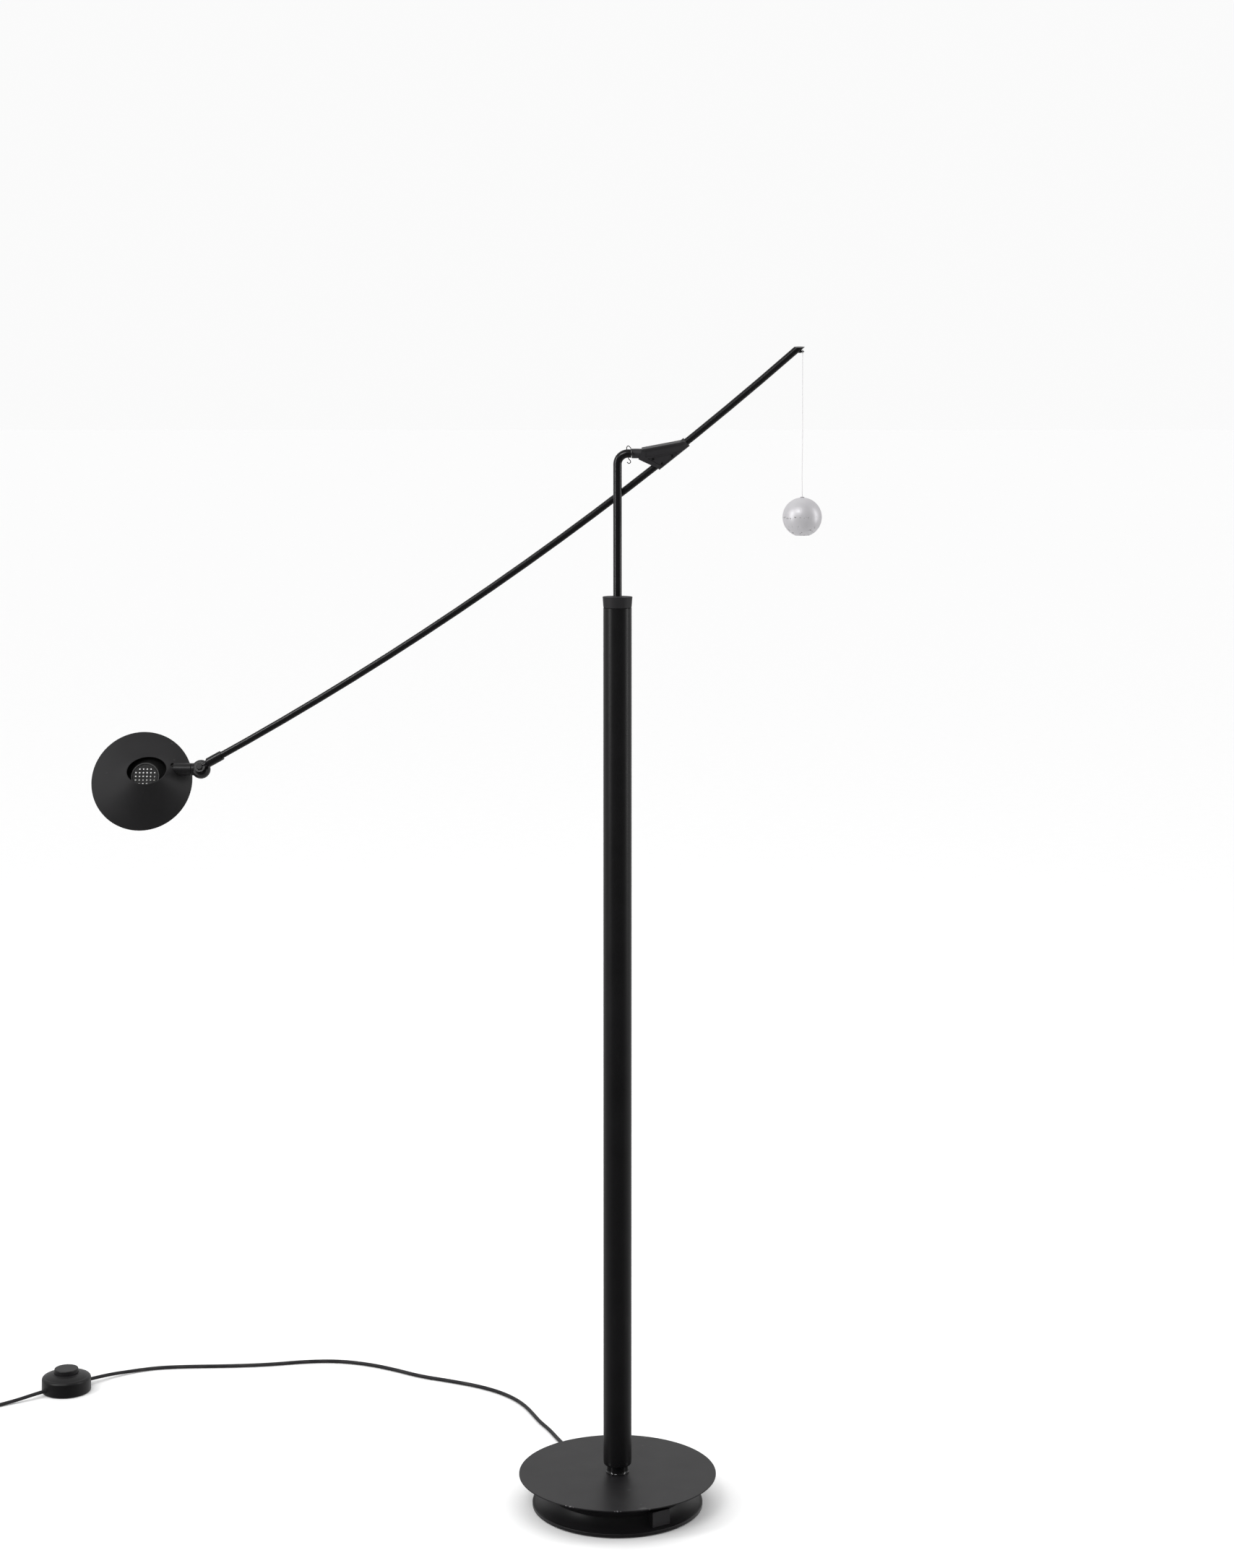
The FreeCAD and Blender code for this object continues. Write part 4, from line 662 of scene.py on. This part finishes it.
def scuff_group():
    """Thin scratches and a few specks, as a mask."""
    group, source, sink = new_group(
        "scuffs",
        [("Vector", "NodeSocketVector", None), ("Scale", "NodeSocketFloat", 40.0),
         ("Amount", "NodeSocketFloat", 0.3)],
        [("Mask", "NodeSocketFloat")])
    link = group.links.new
    stretch = group_node(group, "ShaderNodeMapping")
    stretch.inputs["Scale"].default_value = (1.0, 1.0, 0.08)
    stretch.inputs["Rotation"].default_value = (0.3, 0.5, 0.2)
    lines = group_node(group, "ShaderNodeTexNoise")
    lines.inputs["Detail"].default_value = 6.0
    sharp = group_node(group, "ShaderNodeMapRange")
    sharp.inputs["From Min"].default_value = 0.66
    sharp.inputs["From Max"].default_value = 0.74
    specks = group_node(group, "ShaderNodeTexVoronoi", feature="F1")
    dots = group_node(group, "ShaderNodeMapRange")
    dots.inputs["From Min"].default_value = 0.10
    dots.inputs["From Max"].default_value = 0.03
    where = group_node(group, "ShaderNodeTexNoise")
    where.inputs["Scale"].default_value = 9.0
    rare = group_node(group, "ShaderNodeMapRange")
    rare.inputs["From Min"].default_value = 0.54
    rare.inputs["From Max"].default_value = 0.66
    both = group_node(group, "ShaderNodeMath", operation="MAXIMUM")
    kept = group_node(group, "ShaderNodeMath", operation="MULTIPLY")
    amount = group_node(group, "ShaderNodeMath", operation="MULTIPLY")
    link(source.outputs["Vector"], stretch.inputs["Vector"])
    link(stretch.outputs[0], lines.inputs["Vector"])
    link(source.outputs["Scale"], lines.inputs["Scale"])
    link(lines.outputs["Fac"], sharp.inputs["Value"])
    link(source.outputs["Vector"], specks.inputs["Vector"])
    link(source.outputs["Scale"], specks.inputs["Scale"])
    link(specks.outputs["Distance"], dots.inputs["Value"])
    link(source.outputs["Vector"], where.inputs["Vector"])
    link(where.outputs["Fac"], rare.inputs["Value"])
    link(sharp.outputs[0], both.inputs[0])
    link(dots.outputs[0], both.inputs[1])
    link(both.outputs[0], kept.inputs[0])
    link(rare.outputs[0], kept.inputs[1])
    link(kept.outputs[0], amount.inputs[0])
    link(source.outputs["Amount"], amount.inputs[1])
    link(amount.outputs[0], sink.inputs["Mask"])
    return group


GRAIN = grain_group()
SCUFFS = scuff_group()

# ---------------------------------------------------------------- materials


GRAIN_HEIGHT = 0.0002


class Finish:
    """A material under construction: its shader, its object coordinates and its grain."""

    def __init__(self, name, roughness, spread, grain, depth):
        self.material = bpy.data.materials.new(name)
        self.material.use_nodes = True
        self.tree = self.material.node_tree
        self.shader = self.tree.nodes["Principled BSDF"]
        self.place = self.node("ShaderNodeTexCoord").outputs["Object"]
        self.grain = self.node("ShaderNodeGroup", node_tree=GRAIN)
        self.grain.inputs["Scale"].default_value = grain
        self.grain.inputs["Roughness"].default_value = roughness
        self.grain.inputs["Spread"].default_value = spread
        self.join(self.place, self.grain.inputs["Vector"])
        self.join(self.grain.outputs["Roughness"], self.shader.inputs["Roughness"])
        self.bump = self.node("ShaderNodeBump")
        self.bump.inputs["Strength"].default_value = depth
        self.bump.inputs["Distance"].default_value = GRAIN_HEIGHT
        self.join(self.grain.outputs["Height"], self.bump.inputs["Height"])
        self.join(self.bump.outputs["Normal"], self.shader.inputs["Normal"])

    def node(self, kind, **settings):
        node = self.tree.nodes.new(kind)
        for key, value in settings.items():
            setattr(node, key, value)
        return node

    def join(self, source, sink):
        self.tree.links.new(source, sink)

    def mix(self, mask, first, second):
        """Colour that goes from first to second with a mask; either may be a socket."""
        blend = self.node("ShaderNodeMix", data_type="RGBA")
        self.join(mask, blend.inputs["Factor"])
        for socket, colour in ((blend.inputs[6], first), (blend.inputs[7], second)):
            if isinstance(colour, tuple):
                socket.default_value = (*colour, 1)
            else:
                self.join(colour, socket)
        return blend.outputs[2]

    def drift(self, first, second):
        """Base colour that wanders a little between two tones."""
        return self.mix(self.grain.outputs["Patch"], first, second)

    def scuffs(self, scale, amount):
        """Mask of scratches and specks."""
        marks = self.node("ShaderNodeGroup", node_tree=SCUFFS)
        marks.inputs["Scale"].default_value = scale
        marks.inputs["Amount"].default_value = amount
        self.join(self.place, marks.inputs["Vector"])
        return marks.outputs["Mask"]

    def colour(self, source):
        """Joins a colour to the shader's base colour."""
        self.join(source, self.shader.inputs["Base Color"])

    def fixed(self, **values):
        """Numbers that are the same all over, set on the shader itself."""
        for key, value in values.items():
            self.shader.inputs[key.replace("_", " ")].default_value = value

    def ranged(self, source, low, high, bottom=0.0, top=1.0):
        """Goes from bottom to top as the source goes from low to high."""
        node = self.node("ShaderNodeMapRange")
        for label_text, value in (("From Min", low), ("From Max", high),
                                  ("To Min", bottom), ("To Max", top)):
            node.inputs[label_text].default_value = value
        self.join(source, node.inputs["Value"])
        return node.outputs[0]

    def maths(self, operation, first, second=None):
        node = self.node("ShaderNodeMath", operation=operation)
        for socket, value in zip(node.inputs, (first, second)):
            if value is None:
                continue
            if isinstance(value, (int, float)):
                socket.default_value = value
            else:
                self.join(value, socket)
        return node.outputs[0]

    def near(self, spot, inner, outer):
        """Mask that is 1 within inner of a spot and 0 beyond outer."""
        gap = self.node("ShaderNodeVectorMath", operation="DISTANCE")
        self.join(self.place, gap.inputs[0])
        gap.inputs[1].default_value = spot
        return self.ranged(gap.outputs["Value"], outer, inner)

    def part(self, axis):
        """One coordinate of the place: X, Y or Z."""
        split = self.node("ShaderNodeSeparateXYZ")
        self.join(self.place, split.inputs[0])
        return split.outputs[axis]

    def noise(self, scale, detail=2.0):
        node = self.node("ShaderNodeTexNoise")
        node.inputs["Scale"].default_value = scale
        node.inputs["Detail"].default_value = detail
        self.join(self.place, node.inputs["Vector"])
        return node.outputs["Fac"]


# a coat's colours, as shares of its tone, and how large its scuffs are
COAT_DARK = (1.0, 0.96, 1.05)
COAT_LIGHT = (1.7, 1.62, 1.75)
COAT_WORN = 6
COAT_WORN_LEAST = 0.05
COAT_SCUFFS = 55.0


def black_coat(name, tone, roughness, grain, depth, wear, specular=0.3, spread=0.12):
    """Black paint or plastic with fine texture and a little wear."""
    finish = Finish(name, roughness, spread, grain, depth)
    dark = tuple(tone * share for share in COAT_DARK)
    light = tuple(tone * share for share in COAT_LIGHT)
    worn = (tone * COAT_WORN + COAT_WORN_LEAST,) * 3
    finish.colour(finish.mix(finish.scuffs(COAT_SCUFFS, wear), finish.drift(dark, light), worn))
    finish.fixed(Specular_IOR_Level=specular)
    return finish


# chips on the edge of the base's disc: place and radius
CHIPS = [((-0.065, -0.1235, 0.0462), 0.0022), ((-0.061, -0.1257, 0.0462), 0.0012),
         ((-0.071, -0.1203, 0.0463), 0.0013), ((0.0, -0.1396, 0.0460), 0.0016),
         ((0.0045, -0.1398, 0.0461), 0.0010), ((-0.0035, -0.1398, 0.0461), 0.0010),
         ((0.121, 0.069, 0.0463), 0.0014)]
CHIP_MIDDLE = 0.35
BARE_IRON = (0.20, 0.19, 0.20)


def casting_coat():
    """Base paint with an even texture and bare chips on the disc's edge."""
    finish = black_coat("casting_coat", tone=0.0075, roughness=0.42, grain=1400.0, depth=0.10,
                        wear=0.5, specular=0.42)
    chips = None
    for spot, size in CHIPS:
        mask = finish.near(spot, size * CHIP_MIDDLE, size)
        chips = mask if chips is None else finish.maths("MAXIMUM", chips, mask)
    ragged = finish.ranged(finish.noise(900.0, 3.0), 0.42, 0.56)
    chips = finish.maths("MULTIPLY", chips, ragged)
    under = finish.shader.inputs["Base Color"].links[0].from_socket
    finish.colour(finish.mix(chips, under, BARE_IRON))
    return finish.material


BALL_LIGHT = (0.64, 0.63, 0.65)
BALL_DARK = (0.56, 0.55, 0.57)
# the belt's pits and the painted shade towards the foot share this dark colour
BALL_PIT_AND_SHADE = (0.07, 0.065, 0.07)
BALL_SHINE = 0.42
PIT_AND_SHADE_SHINE = 0.05
# the scuffed belt: share of the ball's height, how far it wanders, and half its width out and in
BELT_HEIGHT = 0.48
BELT_WANDER = 0.0025
BELT_OUTER = 0.0017
BELT_INNER = 0.0004
# heights above the ball's foot between which the painted shade, dark specks towards the foot, fades out
SHADE_FADES_AT = 0.016
SHADE_FULL_AT = 0.004


def ball_silver():
    """Satin silver ball with a scuffed belt of dark pits below its middle, and painted shade of dark specks
    towards its foot.
    """
    low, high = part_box("weight_ball")
    finish = Finish("ball_silver", roughness=0.42, spread=0.16, grain=900.0, depth=0.25)
    height = finish.part("Z")
    belt_middle = low[2] + (high[2] - low[2]) * BELT_HEIGHT
    wander = finish.ranged(finish.noise(60.0), 0.0, 1.0, -BELT_WANDER, BELT_WANDER)
    from_belt = finish.maths("SUBTRACT", finish.maths("ADD", height, wander), belt_middle)
    belt = finish.ranged(finish.maths("ABSOLUTE", from_belt), BELT_OUTER, BELT_INNER)
    # painted shade: dark specks that thicken towards the ball's foot
    foot_shade = finish.ranged(height, low[2] + SHADE_FADES_AT, low[2] + SHADE_FULL_AT)
    pits = finish.ranged(finish.noise(420.0, 4.0), 0.56, 0.63)
    shade_specks = finish.ranged(finish.noise(230.0, 3.0), 0.60, 0.67)
    # the belt's pits and the painted shade take the same dark colour and dull shine
    marks = finish.maths("MAXIMUM", finish.maths("MULTIPLY", belt, pits),
                         finish.maths("MULTIPLY", foot_shade, shade_specks))
    finish.colour(finish.mix(marks, finish.drift(BALL_DARK, BALL_LIGHT), BALL_PIT_AND_SHADE))
    shine = finish.ranged(marks, 0.0, 1.0, BALL_SHINE, PIT_AND_SHADE_SHINE)
    finish.join(shine, finish.shader.inputs["Metallic"])
    return finish.material


METAL_DULL = 0.78
METAL_SCRATCH = 0.5


def bare_metal(name, tone, roughness, warm=0.0):
    """Uncoated metal with dull patches and fine scratches; warm takes blue away."""
    finish = Finish(name, roughness, spread=0.15, grain=1200.0, depth=0.04)
    clean = (tone, tone * (1 - warm * 0.5), tone * (1 - warm))
    dull = tuple(value * METAL_DULL for value in clean)
    scratch = tuple(value * METAL_SCRATCH for value in clean)
    finish.colour(finish.mix(finish.scuffs(90.0, 0.6), finish.drift(clean, dull), scratch))
    finish.fixed(Metallic=0.95)
    return finish.material


def pale(name, first, second, roughness, grain, depth):
    """Plain moulded or fired surface that drifts between two tones."""
    finish = Finish(name, roughness, 0.1, grain, depth)
    finish.colour(finish.drift(first, second))
    return finish.material


def sheath():
    """Soft black lead, dulled in patches by floor dust."""
    finish = Finish("sheath", roughness=0.5, spread=0.16, grain=1500.0, depth=0.12)
    dust = finish.ranged(finish.noise(35.0, 5.0), 0.48, 0.75, 0.0, 0.5)
    finish.colour(finish.mix(dust, finish.drift((0.012, 0.0115, 0.013), (0.02, 0.019, 0.021)),
                             (0.055, 0.052, 0.05)))
    finish.fixed(Specular_IOR_Level=0.35)
    return finish.material


def thread_twist():
    """Pale twisted thread: a slanting stripe runs round and down it."""
    finish = Finish("thread_twist", roughness=0.75, spread=0.1, grain=3000.0, depth=0.1)
    stripe = finish.node("ShaderNodeTexWave", wave_type="BANDS", bands_direction="DIAGONAL")
    stripe.inputs["Scale"].default_value = 500.0
    stripe.inputs["Distortion"].default_value = 1.0
    finish.join(finish.place, stripe.inputs["Vector"])
    finish.colour(finish.mix(stripe.outputs["Fac"], (0.42, 0.41, 0.42), (0.72, 0.71, 0.72)))
    return finish.material


def winding_tape():
    """Varnished tape wrapped across the transformer's ring."""
    finish = Finish("winding_tape", roughness=0.35, spread=0.15, grain=500.0, depth=0.1)
    wave = finish.node("ShaderNodeTexWave", wave_type="BANDS", bands_direction="X")
    wave.inputs["Scale"].default_value = 30.0
    wave.inputs["Distortion"].default_value = 2.0
    finish.join(finish.place, wave.inputs["Vector"])
    finish.colour(finish.mix(wave.outputs["Fac"], (0.32, 0.20, 0.05), (0.52, 0.38, 0.12)))
    return finish.material


def clear_glass():
    """Bulb glass, a little smoky in places."""
    finish = Finish("clear_glass", roughness=0.03, spread=0.03, grain=300.0, depth=0.01)
    smoke = finish.ranged(finish.noise(120.0, 3.0), 0.35, 0.75)
    finish.colour(finish.mix(smoke, (0.97, 0.97, 0.96), (0.88, 0.88, 0.86)))
    finish.fixed(Transmission_Weight=1.0, IOR=1.46)
    return finish.material


def floor_rubber():
    """Ribbed pad under the base."""
    finish = black_coat("floor_rubber", tone=0.012, roughness=0.75, grain=600.0, depth=0.3,
                        wear=0.2, specular=0.25)
    wave = finish.node("ShaderNodeTexWave", wave_type="RINGS", rings_direction="Z")
    wave.inputs["Scale"].default_value = 60.0
    finish.join(finish.place, wave.inputs["Vector"])
    ribs = finish.node("ShaderNodeBump")
    ribs.inputs["Strength"].default_value = 0.4
    ribs.inputs["Distance"].default_value = 0.0006
    finish.join(wave.outputs["Fac"], ribs.inputs["Height"])
    finish.join(finish.bump.outputs["Normal"], ribs.inputs["Normal"])
    finish.join(ribs.outputs["Normal"], finish.shader.inputs["Normal"])
    return finish.material


def reflector_enamel():
    """White enamel inside, and black on the back that faces the vent."""
    finish = Finish("reflector_enamel", roughness=0.35, spread=0.1, grain=900.0, depth=0.04)
    facing = finish.node("ShaderNodeTexCoord").outputs["Normal"]
    towards = finish.node("ShaderNodeVectorMath", operation="DOT_PRODUCT")
    towards.inputs[1].default_value = SHADE.to_3x3() @ Vector((0, 0, 1))
    finish.join(facing, towards.inputs[0])
    back = finish.ranged(towards.outputs["Value"], 0.10, 0.14)
    white = finish.drift((0.74, 0.73, 0.69), (0.80, 0.79, 0.75))
    finish.colour(finish.mix(back, white, (0.006, 0.006, 0.006)))
    return finish.material


MATERIALS = {
    "casting_coat": casting_coat(),
    "plate_coat": black_coat(
        "plate_coat", tone=0.010, roughness=0.55, grain=700.0,
        depth=0.1, wear=0.8).material,
    "steel_dark": bare_metal("steel_dark", tone=0.055, roughness=0.40),
    "floor_pad": floor_rubber(),
    "label": black_coat(
        "label_foil", tone=0.020, roughness=0.50, grain=900.0,
        depth=0.08, wear=0.3, specular=0.35).material,
    "winding": winding_tape(),
    "block_plastic": pale("block_plastic", (0.62, 0.60, 0.54), (0.72, 0.70, 0.64),
                          roughness=0.5, grain=800.0, depth=0.05),
    "gland_rubber": black_coat(
        "gland_rubber", tone=0.010, roughness=0.62, grain=1100.0,
        depth=0.12, wear=0.2, specular=0.3).material,
    "neck_gloss": black_coat(
        "neck_gloss", tone=0.004, roughness=0.13, grain=500.0,
        depth=0.02, wear=0.2, specular=0.6, spread=0.05).material,
    "column_coat": black_coat(
        "column_coat", tone=0.0042, roughness=0.36, grain=1500.0,
        depth=0.08, wear=0.25, specular=0.36).material,
    "cap_plastic": black_coat(
        "cap_plastic", tone=0.011, roughness=0.55, grain=1200.0,
        depth=0.16, wear=0.3, specular=0.35).material,
    "guide_plastic": black_coat(
        "guide_plastic", tone=0.030, roughness=0.45, grain=700.0,
        depth=0.05, wear=0.3, specular=0.4).material,
    "stem_coat": black_coat(
        "stem_coat", tone=0.0045, roughness=0.22, grain=1400.0,
        depth=0.05, wear=0.3, specular=0.5).material,
    "bright_steel": bare_metal("bright_steel", tone=0.62, roughness=0.28),
    "bracket_plastic": black_coat(
        "bracket_plastic", tone=0.016, roughness=0.40, grain=1300.0,
        depth=0.14, wear=0.25, specular=0.5).material,
    "arm_coat": black_coat(
        "arm_coat", tone=0.0045, roughness=0.24, grain=1400.0,
        depth=0.05, wear=0.3, specular=0.5).material,
    "ball_coat": ball_silver(),
    "plug_insert": pale("plug_insert", (0.26, 0.25, 0.26), (0.34, 0.33, 0.34),
                        roughness=0.45, grain=900.0, depth=0.05),
    "thread": thread_twist(),
    "knuckle_coat": black_coat(
        "knuckle_coat", tone=0.0065, roughness=0.40, grain=1400.0,
        depth=0.10, wear=0.5, specular=0.42).material,
    "shade_coat": black_coat(
        "shade_coat", tone=0.0070, roughness=0.48, grain=1300.0,
        depth=0.16, wear=0.3, specular=0.42).material,
    "reflector_white": reflector_enamel(),
    "gauze": bare_metal("gauze_wire", tone=0.030, roughness=0.5),
    "ceramic": pale("ceramic", (0.76, 0.74, 0.68), (0.85, 0.84, 0.79),
                    roughness=0.55, grain=1500.0, depth=0.10),
    "bulb_glass": clear_glass(),
    "switch_plastic": black_coat(
        "switch_plastic", tone=0.0045, roughness=0.40, grain=1000.0,
        depth=0.30, wear=0.4, specular=0.5).material,
    "button_plastic": black_coat(
        "button_plastic", tone=0.0065, roughness=0.44, grain=1000.0,
        depth=0.25, wear=0.4, specular=0.5).material,
    "lead_sheath": sheath(),
    "plug_plastic": black_coat(
        "plug_plastic", tone=0.010, roughness=0.38, grain=1000.0,
        depth=0.08, wear=0.3, specular=0.45).material,
    "pin_brass": bare_metal("pin_brass", tone=0.66, roughness=0.22, warm=0.2),
}


def paint(thing, slot_name):
    thing.data.materials.clear()
    thing.data.materials.append(MATERIALS[slot_name])


for entry in frame["record"]["subparts"]:
    if entry["node"] in nodes:
        paint(nodes[entry["node"]], entry["material_slot"])

for piece, slot_name in (
        (lead_long, "lead_sheath"), (lead_short, "lead_sheath"), (thread, "thread"),
        (sleeve_piece, "gland_rubber"), (plug_sleeve, "gland_rubber"), (plug_grip, "plug_plastic"),
        (tie_piece, "plug_plastic"), (gauze_piece, "gauze"), (filament_piece, "bright_steel"),
        (label_piece, "label"), (bellows_piece, "gland_rubber")):
    paint(piece, slot_name)

# ---------------------------------------------------------------- floor and light

FLOOR_SIZE = 600
FLOOR_DROP = 0.0004
PAPER_DARK = (0.89, 0.89, 0.89)
PAPER_LIGHT = (0.91, 0.91, 0.91)
# the room's brightness from the near side to the far side, and where it starts and ends to change
NEAR_LIGHT = 0.02
FAR_LIGHT = 0.62
NEAR_ENDS = -0.75
FAR_STARTS = 0.85
BACKGROUND = 0.96


def floor():
    """Pale paper, a hair below the lamp's feet and out of the way of reflections."""
    start_clean()
    bpy.ops.mesh.primitive_plane_add(size=FLOOR_SIZE, location=(0, 0, -FLOOR_DROP))
    plane = bpy.context.object
    plane.name = "floor"
    plane.visible_glossy = False
    bpy.ops.object.transform_apply()
    finish = Finish("floor_paper", roughness=0.9, spread=0.05, grain=40.0, depth=0.0)
    finish.colour(finish.drift(PAPER_DARK, PAPER_LIGHT))
    finish.fixed(Specular_IOR_Level=0.0)
    plane.data.materials.append(finish.material)


def soft_box(name, spot, aim, size, energy):
    """A rectangular lamp that faces what it is aimed at."""
    data = bpy.data.lights.new(name, "AREA")
    data.shape = "RECTANGLE"
    data.size, data.size_y = size
    data.energy = energy
    light = bpy.data.objects.new(name, data)
    light.location = spot
    light.rotation_euler = (Vector(aim) - Vector(spot)).to_track_quat("-Z", "Y").to_euler()
    bpy.context.scene.collection.objects.link(light)


def skylight(direction, strength):
    """Very soft, even light from above, the same however far the floor runs."""
    data = bpy.data.lights.new("skylight", "SUN")
    data.energy = strength
    data.angle = math.radians(120)
    light = bpy.data.objects.new("skylight", data)
    light.visible_glossy = False
    light.rotation_euler = Vector(direction).to_track_quat("-Z", "Y").to_euler()
    bpy.context.scene.collection.objects.link(light)


def surroundings():
    """White room that is dark on the near side, and even white where the camera looks."""
    world = bpy.data.worlds.new("studio")
    bpy.context.scene.world = world
    world.use_nodes = True
    tree = world.node_tree
    back = tree.nodes["Background"]
    direction = tree.nodes.new("ShaderNodeTexCoord")
    split = tree.nodes.new("ShaderNodeSeparateXYZ")
    fade = tree.nodes.new("ShaderNodeMapRange")
    fade.inputs["From Min"].default_value = NEAR_ENDS
    fade.inputs["From Max"].default_value = FAR_STARTS
    fade.inputs["To Min"].default_value = NEAR_LIGHT
    fade.inputs["To Max"].default_value = FAR_LIGHT
    path = tree.nodes.new("ShaderNodeLightPath")
    seen = tree.nodes.new("ShaderNodeMix")
    seen.inputs[3].default_value = BACKGROUND
    tree.links.new(direction.outputs["Generated"], split.inputs[0])
    tree.links.new(split.outputs["Y"], fade.inputs["Value"])
    tree.links.new(path.outputs["Is Camera Ray"], seen.inputs["Factor"])
    tree.links.new(fade.outputs[0], seen.inputs[2])
    tree.links.new(seen.outputs[0], back.inputs["Strength"])
    back.inputs["Color"].default_value = (1, 1, 1, 1)


bpy.context.scene.view_settings.view_transform = "Standard"
floor()
surroundings()
skylight(direction=(0.15, 0.25, -1), strength=2.55)
soft_box("right_side", spot=(3.0, -0.2, 1.7), aim=(0, 0, 0.9), size=(0.6, 2.6), energy=20)
soft_box("left_side", spot=(-2.8, -1.2, 2.0), aim=(-0.2, 0, 0.9), size=(0.5, 2.6), energy=34)
soft_box("high_front", spot=(-1.2, -2.6, 3.6), aim=(-0.1, 0, 1.3), size=(1.4, 0.8), energy=30)
